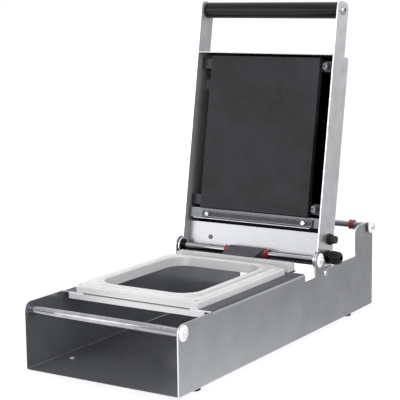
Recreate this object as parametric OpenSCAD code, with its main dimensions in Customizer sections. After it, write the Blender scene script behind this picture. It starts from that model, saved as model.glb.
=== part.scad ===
// Manual tray sealer: a folded steel base with a tray mould, and a heated lid that swings down on it.
// The origin is at mid-width and mid-length on the table. The front is at -Y and +Z is up.

/* [Base] */
// Outside width of the base
base_w = 250; // [240:1:300]
// Length of the film bay between the hinge rod and the rear posts
bay_l = 124.5; // [100:0.5:230]
// Height of the side walls beside the mould
wall_h = 95; // [90:1:120]
// Drop of the side walls behind the hinge ears
rear_wall_drop = 4.3; // [1:0.1:8]
// Thickness of the base sheet
base_t = 2; // [1.5:0.5:2.5]
// Outside radius of the bends in the base sheet
bend_r = 4; // [3:0.5:5]
// Radius of the walls' front top corners
front_corner_r = 12; // [8:1:16]
// Width of the flanges' edge under the mould
flange_lap = 13; // [10:1:18]
// Depth of the notch in front of each hinge ear, below the wall top
notch_depth = 12.6; // [8:0.1:18]
// Radius of the hinge ears
ear_r = 14.2; // [13.4:0.1:16]
// Length of the rear posts that carry the film spindle
post_l = 59.5; // [50:0.5:70]
// Height of the rear posts above the side walls
post_rise = 43.3; // [36:0.1:56]
// Radius of the rear posts' front top corners
post_corner_r = 11; // [8:1:14]

/* [Feet] */
// Height of the rubber feet
foot_h = 11; // [8:0.5:14]
// Diameter of the rubber feet
foot_d = 17; // [14:1:22]
// Distance of the feet from the outside of the walls
foot_inset = 23; // [16:1:30]
// Distance of the front feet from the front edge
front_foot_back = 72; // [40:1:78]
// Distance of the rear feet from the rear edge
rear_foot_in = 48; // [30:1:80]

/* [Mould] */
// Distance from the base's front edge to the mould
mould_front = 84; // [70:1:95]
// Distance of the mould from the base's outer sides
mould_in = 24; // [22:1:30]
// Outside length of the mould
mould_l = 238; // [230:1:250]
// Height of the mould's wide lower tier
tier_low_h = 8.5; // [6:0.5:10]
// Height of the mould's middle tier
tier_mid_h = 2.5; // [2:0.5:4]
// Height of the mould's rim above the middle tier
rim_h = 2.6; // [2:0.1:4]
// Width of the mould beside the opening for the tray's body
well_side = 23; // [18:0.5:28]
// Width of the mould before and behind the opening
well_end = 17.5; // [16:0.5:22]
// Corner radius of the opening for the tray's body
well_r = 28; // [20:1:34]
// Height of the gasket above the rim
gasket_rise = 0.9; // [0.5:0.1:1.5]

/* [Rails] */
// Height of the front rail
front_rail_h = 8; // [6:0.5:10]
// Gap between the front rail and the mould above it
front_rail_drop = 1.5; // [0.5:0.1:2]
// Gap between the mould and the cutting rail
rail_gap = 14; // [10:0.5:18]
// Depth of the cutting rail, front to back
rail_d = 20; // [17:0.5:22]
// Distance of the cutting rail's ends inside the mould's sides
rail_in = 3; // [1:0.5:4]
// Height of the cutting rail
rail_h = 13; // [11:0.5:13.5]
// Distance of the knife's slot from the rail's front
knife_in = 4.1; // [3:0.1:6]

/* [Rods] */
// Diameter of the front rod and the hinge rod
rod_d = 12; // [10:0.5:13]
// Distance from the base's front edge to the front rod
front_rod_back = 11.5; // [10:0.5:14]
// Distance from the wall top down to the front rod
front_rod_down = 11.7; // [11:0.1:14]
// Distance from the cutting rail to the hinge rod
hinge_gap = 30; // [28:0.5:36]
// Diameter of the domed caps at the rod ends
dome_d = 21.4; // [18:0.1:23]
// Diameter of the pins that stop the open lid
stop_d = 8; // [6:0.5:10]
// Length of the pins that stop the open lid
stop_pin_l = 9; // [8:0.5:14]

/* [Film spindle] */
// Diameter of the film spindle
spindle_d = 10; // [8:0.5:12]
// Distance from the spindle to the base's rear edge
spindle_in = 12; // [11:0.5:16]
// Distance from the spindle down from the post top
spindle_down = 7.3; // [6:0.1:12]
// Gap between a post and the spindle's end cap
spindle_cap_gap = 3; // [1:0.5:5]

/* [Rings and flap] */
// Outside diameter of the sliding rings
ring_d = 17; // [15:0.5:18]
// Width of a sliding ring
ring_w = 8; // [6:0.5:10]
// Distance of the spindle rings from the base's walls
spindle_ring_in = 28; // [25:1:60]
// Distance of the hinge rod's rings from the middle
hinge_ring_x = 35; // [32:1:50]
// Radius of the film flap's barrel
flap_barrel_r = 9; // [8.5:0.5:9.5]
// Lap of the film flap's tongue on the cutting rail
flap_lap = 3; // [2:0.5:8]
// Distance of the tongue's left end inside the barrel's
flap_left_in = 5; // [0:1:10]

/* [Lid] */
// Angle that the open lid leans back
lid_lean = 10; // [5:1:15]
// Thickness of the lid's side plates
plate_t = 2; // [1.5:0.5:2.5]
// Gap between a side plate and the base wall
plate_gap = 2; // [1.5:0.5:3]
// Distance of the side plates' front edge ahead of the hinge
plate_front = 1; // [0.5:0.5:2]
// Depth of the lid's box
box_d = 49.5; // [48:0.5:56]
// Width of the side plates at the handle
arm_w = 35; // [32:1:40]
// Distance of the side plates' lower edge below the hinge
heel_drop = 14.8; // [14.2:0.1:18]
// Radius of the side plate around the hinge
lug_r = 12.5; // [12:0.1:13]
// Thickness of the lid's cross panels
panel_t = 1.5; // [1:0.5:2]
// Distance of the lower panel's face behind the hinge
panel_back = 12.6; // [11.5:0.1:14]
// Distance of the lower panel's top edge above the hinge
panel_top = 39.6; // [36:0.1:41]
// Distance of the lower panel's bottom edge below the hinge
panel_drop = 9; // [7:0.5:11]

/* [Heating plate] */
// Gap between the heating plate and the washers beside it
heater_side_gap = 0.5; // [0.3:0.1:3]
// Thickness of the heating plate
heater_t = 10; // [8:0.5:11]
// Distance of the heating plate's face behind the hinge
heater_back = 3.5; // [3:0.1:5]
// Overhang of the heating plate past each end of the mould
heater_over = 1.3; // [1:0.1:2]
// Gap between the closed heating plate and the gasket
seal_gap = 1; // [0.8:0.1:1.5]

/* [Knife] */
// Distance of the knife holder's right end from the side plate
holder_in = 15.5; // [14:0.5:24]
// Distance of the knife holder's left end from the side plate
holder_left_in = 27.5; // [24:0.5:32]
// Depth of the knife holder
holder_d = 5; // [4:0.5:6]
// Distance of the holder's face behind the hinge
holder_back = 3.2; // [2.6:0.1:4]
// Distance that the blade reaches ahead of the hinge
blade_reach = 1.5; // [1:0.1:2]

/* [Handle] */
// Diameter of the handle grip
grip_d = 25; // [22:1:28]
// Distance of the handle above the lid's box
handle_rise = 68; // [60:1:90]
// Length of the side plates past the handle's centre
handle_end = 13; // [12.5:0.5:18]

/* [Controls] */
// Diameter of the cable gland
gland_d = 21; // [20:0.5:22]
// Length of the cable gland outside the side plate
gland_l = 24; // [20:1:30]
// Diameter of the cable that the gland takes
cable_d = 7; // [6:0.5:8]
// Diameter of the button's collar
collar_d = 17.5; // [17:0.5:19]
// Diameter of the button's cap
button_d = 12.2; // [11:0.1:12.4]
// Distance that the button travels
button_travel = 3; // [2:0.5:4]

/* [Hidden] */
$fn = 64;
// One overrun serves all cuts
over = 1;
// Clearances: round a screw in its hole, a running fit, and between loose neighbours
screw_clear = 0.2;
run_clear = 0.06;
loose_gap = 0.3;

// Base frame: distances run back from the front edge and up from the wall bottom
inner_w = base_w - 2 * base_t;
mould_w = base_w - 2 * mould_in;
well_w = mould_w - 2 * well_side;
well_l = mould_l - 2 * well_end;
mould_rear = mould_front + mould_l;
flange_x = mould_w / 2 - flange_lap;
flange_tail = 3.5;
rail_front = mould_rear + rail_gap;
rail_rear = rail_front + rail_d;
flange_end = rail_front + flange_tail;
hinge_back = rail_rear + hinge_gap;
post_front = hinge_back + bay_l;
base_l = post_front + post_l;
rear_wall_h = wall_h - rear_wall_drop;
post_h = wall_h + post_rise;
notch_floor = wall_h - notch_depth;
notch_corner_r = 5;
flange_corner_r = 3;
post_foot_r = 4;
post_rear_r = 5;

// Mould heights
tier_mid_z = wall_h + tier_low_h;
rim_z = tier_mid_z + tier_mid_h;
rim_top = rim_z + rim_h;
gasket_top = rim_top + gasket_rise;
tier_step = 2;
rim_step = 4;
rim_r = 16;
mould_corner_r = 2;
gasket_w = 4;
gasket_inset = 3.5;
gasket_depth = 1.6;
pin_d = 4.4;
pin_inset = 4.6;

// The hinge height puts the closed heating plate level with the mould
hinge_up = gasket_top + seal_gap - heater_back;
rod_r = rod_d / 2;
rod_screw_d = 6;
rod_thread_l = 14;
dome_h = 3.4;
dome_edge = 1;
cap_seat = 3;
cap_head_d = 10.4;
cap_head_h = 4;
cap_hex_d = 4.6;
cap_hex_depth = 2;

// Stop pins, set under the heels of the side plates
stop_v = 21.4;
stop_r = stop_d / 2;
stop_u = -(heel_drop + loose_gap + stop_r);
stop_back = hinge_back + stop_v * cos(lid_lean) + stop_u * sin(lid_lean);
stop_up = hinge_up + stop_u * cos(lid_lean) - stop_v * sin(lid_lean);
stop_head_d = 9.5;
stop_head_h = 2.8;
stop_hex_d = 3.6;
stop_hex_depth = 1.4;
stop_screw_d = 4;
stop_thread_l = 6;

// Feet
foot_screw_d = 4;
foot_head_d = 9;
foot_head_h = 2.4;
foot_thread_l = 7;
foot_taper = 1.2;

// Rails
rail_w = mould_w - 2 * rail_in;
rail_leg = 14;
rail_side_gap = 11;
rail_round_r = 6;
knife_slot_w = 3.4;
knife_slot_depth = 4.5;
rail_screw_d = 4;
rail_screw_head_d = 7.5;
rail_screw_head_h = 2.2;
rail_thread_l = 7;
tongue_w = 12;
front_rail_screw_in = 10;
front_rail_screw_x = mould_w / 2 - front_rail_screw_in;
front_rail_screw_back = mould_front + rail_leg / 2;
rail_screw_x = flange_x + tongue_w / 2;
rail_screw_back = rail_rear - rail_round_r;

// Film spindle
spindle_r = spindle_d / 2;
spindle_back = base_l - spindle_in;
spindle_up = post_h - spindle_down;
spindle_end = base_w / 2 + spindle_cap_gap;
spindle_screw_d = 5;
spindle_thread_l = 12;

// Rings and flap
spindle_ring_x = inner_w / 2 - spindle_ring_in;
ring_groove_r = 1.6;
ring_groove_depth = 1.1;
ring_edge = 1.5;
flap_w = 2 * (hinge_ring_x - ring_w / 2 - loose_gap);
flap_t = 1.6;
flap_reach = hinge_gap + flap_lap;

// Lid frame: x across, v back from the hinge, u up from the hinge
plate_out = inner_w / 2 - plate_gap;
plate_in = plate_out - plate_t;
box_back = box_d - plate_front;
heater_low = hinge_back - mould_rear - heater_over;
heater_top = hinge_back - mould_front + heater_over;
box_top_gap = 5.5;
box_top = heater_top + box_top_gap;
handle_u = box_top + handle_rise;
handle_v = arm_w / 2 - plate_front;
arm_top = handle_u + handle_end;
arm_corner_r = 9;
box_corner_r = 5;
bush_r = 8;
bush_flange_r = 10;
bush_flange_t = 2;

// Heating pack behind the heating plate
bar_v = heater_back + heater_t;
bar_t = 4;
bar_h = 16;
bar_inset = 12;
bar_low_u = heater_low + bar_inset;
bar_high_u = heater_top - bar_inset;
side_bolt_d = 6;
side_bolt_gap = 17;
bolt_x = plate_in - side_bolt_gap;
bolt_head_d = 10;
bolt_head_h = 4;
washer_d = 12;
washer_t = 1.2;
heater_w = 2 * (bolt_x - washer_d / 2 - heater_side_gap);
bracket_t = 2;
bracket_l = 30;
bracket_leg = 18;
nut_t = 5;
stud_in = 33.5;
stud_x = heater_w / 2 - stud_in;
stud_d = 6;
element_t = 1.5;
insulation_t = 12;
pan_t = 1;
pan_gap = 1;
pan_in = 5.5;
pan_w = heater_w - 2 * pan_in;
tab_w = 40;
tab_l = 12;
pan_low = bar_low_u + bar_h / 2 + pan_gap;
pan_high = bar_high_u - bar_h / 2 - pan_gap;
pan_back = bar_v + element_t + insulation_t + pan_t;
thermostat_d = 17;
thermostat_h = 12;
lug_x = 5.6;
lug_w = 5;
lug_t = 0.8;
lug_l = 8;

// Knife: the blade meets the slot in the cutting rail
blade_t = 1;
blade_clamp = 8;
bridge_t = 2;
bridge_d = 12;
bridge_gap = 1.3;
bridge_low = hinge_back - rail_front - knife_in + blade_t / 2;
bridge_h = heater_low - bridge_gap - bridge_low;
holder_low_inset = 0.5;
holder_top_inset = 3;
holder_h = bridge_h - holder_low_inset - holder_top_inset;
holder_top = bridge_low + bridge_h - holder_top_inset;
holder_left = plate_in - holder_left_in;
holder_right = plate_in - holder_in;
holder_left_screw_in = 9.5;
holder_right_screw_in = 14.5;
holder_screw_d = 4;
holder_head_d = 7.6;
holder_head_h = 2.6;
terminal_w = 34;
terminal_h = 13;
terminal_d = 15;
terminal_in = 55;
terminal_x = plate_in - terminal_in;
terminal_ways = 3;
terminal_screw_d = 4.5;
terminal_screw_depth = 1;

// Rear cover
cover_tab_w = 13;
cover_tab_h = 16;
cover_screw_d = 4;
cover_head_d = 8;
cover_head_h = 2.4;
cover_screw_inset = 7;

// Lower panel
panel_screw_in = 42;
panel_screw_x = plate_in - panel_screw_in;
panel_screw_u = 17;
panel_head_d = 7;
panel_head_h = 1.8;
panel_screw_d = 3.5;
panel_tail = 6;

// Handle
core_r = 6;
handle_screw_d = 8;
handle_thread_l = 16;
handle_head_d = 14;
handle_head_h = 4.4;
hex_d = 6;
hex_depth = 2.4;
grip_edge_r = 1.5;

// Cable gland
gland_u = 4.5;
gland_v = 31;
gland_thread_d = 16;
gland_thread_l = 9;
gland_flange_l = 4;
gland_flat_in = 1;
gland_body_l = 9;
gland_dome_r = 5;
gland_flutes = 12;
gland_flute_r = 1.3;
locknut_d = 22;
locknut_t = 4;

// Reset button
button_u = 31.5;
button_v = 33.5;
collar_l = 5.5;
collar_face_d = 15;
barrel_d = 15;
barrel_l = 18;
barrel_end_t = 2;
button_out = 7;
button_spring_room = 2.5;
button_round_r = 1.2;

// Cover tabs: the low one sits between the button's locknut and the lower bracket
cover_tab_us = [
    (button_u + locknut_d / 2 + bar_low_u - bar_h / 2) / 2,
    bar_high_u - 2 * bar_h
];

// Places children in the base frame
module from_front() {
    translate([0, -base_l / 2, foot_h]) children();
}

// Places children in the lid frame
module in_lid() {
    from_front() translate([0, hinge_back, hinge_up]) rotate([-lid_lean, 0, 0]) children();
}

// Copies children to the left side
module both_sides() {
    children();
    mirror([1, 0, 0]) children();
}

// Extrudes an outline drawn in Y and Z between two places along X
module along_x(x_from, x_to) {
    translate([x_from, 0, 0]) rotate([90, 0, 90]) linear_extrude(x_to - x_from) children();
}

// Extrudes an outline drawn in X and Z between two places along Y
module along_y(y_from, y_to) {
    translate([0, y_to, 0]) rotate([90, 0, 0]) linear_extrude(y_to - y_from) children();
}

// Round bar along X
module x_round(r, x_from, x_to) {
    translate([x_from, 0, 0]) rotate([0, 90, 0]) cylinder(r = r, h = x_to - x_from);
}

// Round bar along Y
module y_round(r, y_from, y_to) {
    translate([0, y_to, 0]) rotate([90, 0, 0]) cylinder(r = r, h = y_to - y_from);
}

// Rectangle with round corners, centred
module round_rect(w, l, r) {
    square([w - 2 * r, l], center = true);
    square([w, l - 2 * r], center = true);
    for (sx = [-1, 1], sy = [-1, 1]) {
        translate([sx * (w / 2 - r), sy * (l / 2 - r)]) circle(r = r);
    }
}

// Channel outline, open at the top, with round lower corners
module channel_outline(w, h, r) {
    translate([-w / 2, r]) square([w, h - r]);
    translate([-w / 2 + r, 0]) square([w - 2 * r, h]);
    for (s = [-1, 1]) {
        translate([s * (w / 2 - r), r]) circle(r = r);
    }
}

// Material left in the corner between a floor and a wall on its right
module inner_fillet(r) {
    difference() {
        translate([-r, 0]) square([r, r]);
        translate([-r, r]) circle(r = r);
    }
}

// Half outline of a domed head: a straight edge and a round crown
module dome_outline(head_d, edge_h, crown_h) {
    ball_r = (head_d * head_d / 4 + crown_h * crown_h) / (2 * crown_h);
    intersection() {
        translate([0, edge_h + crown_h - ball_r]) circle(r = ball_r);
        square([head_d / 2, edge_h + crown_h + over]);
    }
}

// Domed cap with a seat for its screw's head, its flat face on x = 0
module domed_cap(shank_d) {
    difference() {
        rotate([0, 90, 0]) rotate_extrude() dome_outline(dome_d, dome_edge, dome_h);
        x_round(cap_head_d / 2 + screw_clear, cap_seat, dome_edge + dome_h + over);
        x_round(shank_d / 2 + screw_clear, -over, dome_edge + dome_h);
    }
}

// Button-head screw with a hexagon socket, its head outside x = 0
module button_screw(head_d, head_h, shank_d, shank_l, socket_d, socket_depth) {
    difference() {
        union() {
            rotate([0, 90, 0]) rotate_extrude() dome_outline(head_d, head_h / 4, head_h * 3 / 4);
            x_round(shank_d / 2, -shank_l, 0);
        }
        translate([head_h - socket_depth, 0, 0]) rotate([0, 90, 0])
            cylinder(d = socket_d, h = socket_depth + over, $fn = 6);
    }
}

// Pan-head screw with a slot, its head above z = 0 and its shank below
module pan_screw(head_d, head_h, shank_d, shank_l) {
    slot_w = head_d / 6;
    difference() {
        union() {
            cylinder(d = head_d, h = head_h);
            translate([0, 0, -shank_l]) cylinder(d = shank_d, h = shank_l);
        }
        translate([-head_d / 2 - over, -slot_w / 2, head_h / 2])
            cube([head_d + 2 * over, slot_w, head_h]);
    }
}

// Side of the base as seen from the right: walls, hinge ear and rear post
module side_outline() {
    square([base_l, notch_floor]);
    difference() {
        translate([0, notch_floor - over]) square([flange_end, notch_depth + over]);
        translate([0, wall_h - front_corner_r]) square([front_corner_r, front_corner_r]);
        translate([flange_end - flange_corner_r, wall_h - flange_corner_r])
            square([flange_corner_r + over, flange_corner_r + over]);
    }
    translate([front_corner_r, wall_h - front_corner_r]) circle(r = front_corner_r);
    translate([flange_end - flange_corner_r, wall_h - flange_corner_r]) circle(r = flange_corner_r);
    translate([hinge_back, hinge_up]) circle(r = ear_r);
    translate([hinge_back - ear_r, notch_floor - over])
        square([2 * ear_r, hinge_up - notch_floor + over]);
    translate([hinge_back - ear_r, notch_floor]) inner_fillet(notch_corner_r);
    translate([hinge_back, notch_floor - over])
        square([base_l - hinge_back, rear_wall_h - notch_floor + over]);
    translate([post_front, rear_wall_h]) inner_fillet(post_foot_r);
    translate([post_front, rear_wall_h - over])
        square([post_l, post_h - post_corner_r - rear_wall_h + over]);
    translate([post_front + post_corner_r, rear_wall_h])
        square([post_l - post_corner_r - post_rear_r, post_h - rear_wall_h]);
    translate([post_front + post_corner_r, post_h - post_corner_r]) circle(r = post_corner_r);
    translate([base_l - post_rear_r - over, post_h - post_corner_r - over])
        square([post_rear_r + over, post_corner_r - post_rear_r + over]);
    translate([base_l - post_rear_r, post_h - post_rear_r]) circle(r = post_rear_r);
}

// Right flange: the bend and the flat that carries the mould
module flange_outline() {
    translate([flange_x, wall_h - base_t]) square([base_w / 2 - bend_r - flange_x, base_t]);
    translate([base_w / 2 - bend_r, wall_h - bend_r]) intersection() {
        difference() {
            circle(r = bend_r);
            circle(r = bend_r - base_t);
        }
        square(bend_r);
    }
}

// Places one pin or hole at each corner of the mould
module at_pins() {
    for (sx = [-1, 1], y = [mould_front + pin_inset, mould_rear - pin_inset]) {
        translate([sx * (mould_w / 2 - pin_inset), y, 0]) children();
    }
}

module at_front_rail_screws() {
    for (s = [-1, 1]) {
        translate([s * front_rail_screw_x, front_rail_screw_back, 0]) children();
    }
}

module at_rail_screws() {
    for (s = [-1, 1]) {
        translate([s * rail_screw_x, rail_screw_back, 0]) children();
    }
}

module at_feet() {
    for (s = [-1, 1], y = [front_foot_back, base_l - rear_foot_in]) {
        translate([s * (base_w / 2 - foot_inset), y, 0]) children();
    }
}

module base_shell() color("#9a9da1") from_front() {
    difference() {
        union() {
            difference() {
                intersection() {
                    along_x(-base_w / 2, base_w / 2) side_outline();
                    along_y(0, base_l) channel_outline(base_w, post_h, bend_r);
                }
                translate([0, 0, base_t]) along_y(-over, base_l + over)
                    channel_outline(inner_w, post_h, bend_r - base_t);
                translate([-base_w / 2 - over, mould_front, wall_h - bend_r])
                    cube([base_w + 2 * over, flange_end - mould_front, bend_r + over]);
            }
            both_sides() along_y(mould_front, flange_end) flange_outline();
            both_sides() translate([flange_x, flange_end, wall_h - base_t])
                cube([tongue_w, rail_rear - flange_end, base_t]);
        }
        both_sides() translate([0, front_rod_back, wall_h - front_rod_down])
            x_round(rod_screw_d / 2 + screw_clear, inner_w / 2 - over, base_w / 2 + over);
        both_sides() translate([0, hinge_back, hinge_up])
            x_round(rod_screw_d / 2 + screw_clear, inner_w / 2 - over, base_w / 2 + over);
        both_sides() translate([0, stop_back, stop_up])
            x_round(stop_screw_d / 2 + screw_clear, inner_w / 2 - over, base_w / 2 + over);
        both_sides() translate([0, spindle_back, spindle_up]) {
            x_round(spindle_r + run_clear, inner_w / 2 - over, base_w / 2 + over);
            translate([inner_w / 2 - over, -spindle_r - run_clear, 0])
                cube([base_t + 2 * over, spindle_d + 2 * run_clear, spindle_down + over]);
        }
        at_feet() translate([0, 0, -over])
            cylinder(d = foot_screw_d + 2 * screw_clear, h = base_t + 2 * over);
        at_pins() translate([0, 0, wall_h - base_t - over])
            cylinder(d = pin_d + 2 * run_clear, h = base_t + 2 * over);
        at_front_rail_screws() translate([0, 0, wall_h - base_t - over])
            cylinder(d = rail_screw_d + 2 * screw_clear, h = base_t + 2 * over);
        at_rail_screws() translate([0, 0, wall_h - base_t - over])
            cylinder(d = rail_screw_d + 2 * screw_clear, h = base_t + 2 * over);
    }
}

// Rod between the walls, tapped at both ends
module tapped_rod(r, half_l, tap_d, tap_l) {
    difference() {
        x_round(r, -half_l, half_l);
        both_sides() x_round(tap_d / 2 + run_clear, half_l - tap_l - over, half_l + over);
    }
}

module front_rod() color("#d8dadd") from_front()
    translate([0, front_rod_back, wall_h - front_rod_down])
    tapped_rod(rod_r, inner_w / 2, rod_screw_d, rod_thread_l);

module hinge_rod() color("#d8dadd") from_front()
    translate([0, hinge_back, hinge_up])
    tapped_rod(rod_r, inner_w / 2, rod_screw_d, rod_thread_l);

module at_rod_ends() {
    both_sides() for (place = [[front_rod_back, wall_h - front_rod_down], [hinge_back, hinge_up]]) {
        translate([base_w / 2, place[0], place[1]]) children();
    }
}

module rod_caps() color("#f0f0f0") from_front() at_rod_ends() domed_cap(rod_screw_d);

module rod_screws() color("#d5d6d9") from_front() at_rod_ends() translate([cap_seat, 0, 0])
    button_screw(cap_head_d, cap_head_h, rod_screw_d, cap_seat + base_t + rod_thread_l, cap_hex_d,
        cap_hex_depth);

module stop_pins() color("#c9cbce") from_front() both_sides()
    translate([0, stop_back, stop_up]) difference() {
        x_round(stop_r, inner_w / 2 - stop_pin_l, inner_w / 2);
        x_round(stop_screw_d / 2 + run_clear, inner_w / 2 - stop_thread_l - over, inner_w / 2 + over);
    }

module stop_screws() color("#e4e4e6") from_front() both_sides()
    translate([base_w / 2, stop_back, stop_up])
    button_screw(stop_head_d, stop_head_h, stop_screw_d, base_t + stop_thread_l,
        stop_hex_d, stop_hex_depth);

module rubber_feet() color("#2b2b2d") from_front() at_feet() difference() {
    translate([0, 0, -foot_h]) rotate_extrude() polygon([
        [0, 0], [foot_d / 2 - foot_taper, 0], [foot_d / 2, foot_taper], [foot_d / 2, foot_h], [0, foot_h]
    ]);
    translate([0, 0, -foot_thread_l]) cylinder(d = foot_screw_d + 2 * run_clear, h = foot_thread_l + over);
}

module foot_screws() color("#dcdcdf") from_front() at_feet() translate([0, 0, base_t])
    pan_screw(foot_head_d, foot_head_h, foot_screw_d, base_t + foot_thread_l);

module front_rail() color("#e9eaec") from_front() {
    half_w = inner_w / 2 - rail_side_gap;
    translate([-half_w, mould_front - base_t, wall_h - front_rail_drop - front_rail_h])
        cube([2 * half_w, base_t, front_rail_h]);
    difference() {
        translate([-half_w, mould_front - base_t, wall_h - 2 * base_t])
            cube([2 * half_w, rail_leg + base_t, base_t]);
        at_front_rail_screws() translate([0, 0, wall_h - 2 * base_t - over])
            cylinder(d = rail_screw_d + 2 * run_clear, h = base_t + 2 * over);
    }
}

module front_rail_screws() color("#b9bbbe") from_front() at_front_rail_screws()
    translate([0, 0, wall_h - 2 * base_t]) rotate([180, 0, 0])
    pan_screw(rail_screw_head_d, rail_screw_head_h, rail_screw_d, 2 * base_t);

module rail_outline() {
    difference() {
        union() {
            square([rail_d - rail_round_r, rail_h]);
            square([rail_d, rail_h - rail_round_r]);
            translate([rail_d - rail_round_r, rail_h - rail_round_r]) circle(r = rail_round_r);
        }
        translate([knife_in - knife_slot_w / 2, rail_h - knife_slot_depth])
            square([knife_slot_w, knife_slot_depth + over]);
    }
}

module cutting_rail() color("#eeeff0") from_front() difference() {
    translate([0, rail_front, wall_h]) along_x(-rail_w / 2, rail_w / 2) rail_outline();
    at_rail_screws() translate([0, 0, wall_h - over])
        cylinder(d = rail_screw_d + 2 * run_clear, h = rail_thread_l + over);
}

module cutting_rail_screws() color("#b9bbbe") from_front() at_rail_screws()
    translate([0, 0, wall_h - base_t]) rotate([180, 0, 0])
    pan_screw(rail_screw_head_d, rail_screw_head_h, rail_screw_d, base_t + rail_thread_l - run_clear);

// Ring outline between the tray's opening and an outer edge set in from the mould's side
module mould_tier(inset, outer_r, tier_h) {
    linear_extrude(tier_h) difference() {
        round_rect(mould_w - 2 * inset, mould_l - 2 * inset, outer_r);
        round_rect(well_w, well_l, well_r);
    }
}

// Ring that follows the tray's opening
module well_ring(inset, width, ring_h) {
    linear_extrude(ring_h) difference() {
        round_rect(well_w + 2 * (inset + width), well_l + 2 * (inset + width), well_r + inset + width);
        round_rect(well_w + 2 * inset, well_l + 2 * inset, well_r + inset);
    }
}

module in_mould() {
    from_front() translate([0, mould_front + mould_l / 2, 0]) children();
}

module tray_mould() color("#e6e7e9") difference() {
    union() {
        in_mould() translate([0, 0, wall_h]) mould_tier(0, mould_corner_r, tier_low_h);
        in_mould() translate([0, 0, tier_mid_z]) mould_tier(tier_step, mould_corner_r, tier_mid_h);
        in_mould() translate([0, 0, rim_z]) mould_tier(tier_step + rim_step, rim_r, rim_h);
    }
    in_mould() translate([0, 0, rim_top - gasket_depth])
        well_ring(gasket_inset, gasket_w, gasket_depth + over);
    from_front() at_pins() translate([0, 0, wall_h - over])
        cylinder(d = pin_d + 2 * run_clear, h = rim_top - wall_h + 2 * over);
}

module mould_gasket() color("#f3f3f1") in_mould() translate([0, 0, rim_top - gasket_depth])
    well_ring(gasket_inset + run_clear, gasket_w - 2 * run_clear, gasket_depth + gasket_rise);

module locating_pins() color("#77797d") from_front() at_pins()
    translate([0, 0, wall_h - base_t])
    cylinder(d = pin_d, h = base_t + tier_low_h + tier_mid_h + loose_gap);

module film_spindle() color("#d8dadd") from_front()
    translate([0, spindle_back, spindle_up])
    tapped_rod(spindle_r, spindle_end, spindle_screw_d, spindle_thread_l);

module spindle_caps() color("#f0f0f0") from_front() both_sides()
    translate([spindle_end, spindle_back, spindle_up]) domed_cap(spindle_screw_d);

module spindle_screws() color("#d5d6d9") from_front() both_sides()
    translate([spindle_end + cap_seat, spindle_back, spindle_up])
    button_screw(cap_head_d, cap_head_h, spindle_screw_d, cap_seat + spindle_thread_l, cap_hex_d,
        cap_hex_depth);

// Sliding ring with a waist, centred on x = 0
module sliding_ring(bore_d) {
    rotate([0, 90, 0]) rotate_extrude() difference() {
        translate([bore_d / 2 + run_clear, -ring_w / 2])
            square([ring_d / 2 - bore_d / 2 - run_clear, ring_w]);
        translate([ring_d / 2 - ring_groove_depth + ring_groove_r, 0]) circle(r = ring_groove_r);
        for (s = [-1, 1]) {
            translate([ring_d / 2, s * ring_w / 2]) rotate(45) square(ring_edge, center = true);
        }
    }
}

module spindle_ring(side) color("#8e1f2c") from_front()
    translate([side * spindle_ring_x, spindle_back, spindle_up]) sliding_ring(spindle_d);

module spindle_ring_left() spindle_ring(-1);
module spindle_ring_right() spindle_ring(1);

module hinge_ring(side) color("#8e1f2c") from_front()
    translate([side * hinge_ring_x, hinge_back, hinge_up]) sliding_ring(rod_d);

module hinge_ring_left() hinge_ring(-1);
module hinge_ring_right() hinge_ring(1);

// Flap that holds the film's end on the cutting rail: a barrel on the hinge rod and a flat tongue
module film_flap() color("#55565a") from_front() translate([0, hinge_back, hinge_up]) {
    tip_z = wall_h + rail_h + loose_gap - hinge_up;
    difference() {
        x_round(flap_barrel_r, -flap_w / 2, flap_w / 2);
        x_round(rod_r + run_clear, -flap_w / 2 - over, flap_w / 2 + over);
    }
    along_x(flap_left_in - flap_w / 2, flap_w / 2) polygon([
        [0, flap_barrel_r - flap_t], [0, flap_barrel_r],
        [-flap_reach, tip_z + flap_t], [-flap_reach, tip_z]
    ]);
}

// Side plate of the lid, drawn with v across and u up
module side_plate_outline() {
    lower = -heel_drop;
    difference() {
        translate([-plate_front, lower]) square([box_d, box_top - lower]);
        translate([box_back - box_corner_r, lower - over])
            square([box_corner_r + over, box_corner_r + over]);
        translate([box_back - box_corner_r, box_top - box_corner_r])
            square([box_corner_r + over, box_corner_r + over]);
    }
    for (u = [lower + box_corner_r, box_top - box_corner_r]) {
        translate([box_back - box_corner_r, u]) circle(r = box_corner_r);
    }
    translate([-plate_front, box_top - over]) square([arm_w, arm_top - arm_corner_r - box_top + over]);
    translate([-plate_front + arm_corner_r, box_top]) square([arm_w - 2 * arm_corner_r, arm_top - box_top]);
    for (v = [-plate_front + arm_corner_r, arm_w - plate_front - arm_corner_r]) {
        translate([v, arm_top - arm_corner_r]) circle(r = arm_corner_r);
    }
    circle(r = lug_r);
}

module side_plate() {
    difference() {
        along_x(plate_in, plate_out) side_plate_outline();
        x_round(bush_r, plate_in - over, plate_out + over);
        translate([0, handle_v, handle_u])
            x_round(handle_screw_d / 2 + screw_clear, plate_in - over, plate_out + over);
    }
}

module left_side_plate() color("#b9bbc0") in_lid() mirror([1, 0, 0]) side_plate();

module right_side_plate() color("#b9bbc0") in_lid() difference() {
    side_plate();
    translate([0, gland_v, gland_u])
        x_round(gland_thread_d / 2 + screw_clear, plate_in - over, plate_out + over);
    translate([0, button_v, button_u])
        x_round(barrel_d / 2 + screw_clear, plate_in - over, plate_out + over);
}

module hinge_bushes() color("#3a3b3e") in_lid() both_sides() difference() {
    union() {
        x_round(bush_flange_r, plate_in - bush_flange_t, plate_in);
        x_round(bush_r - run_clear, plate_in, plate_out + plate_gap / 4);
    }
    x_round(rod_r + run_clear, plate_in - bush_flange_t - over, plate_out + plate_gap);
}

module top_plate() color("#c4c6ca") in_lid() along_x(-plate_in, plate_in)
    translate([-plate_front, box_top - panel_t]) square([box_d - box_corner_r, panel_t]);

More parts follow.
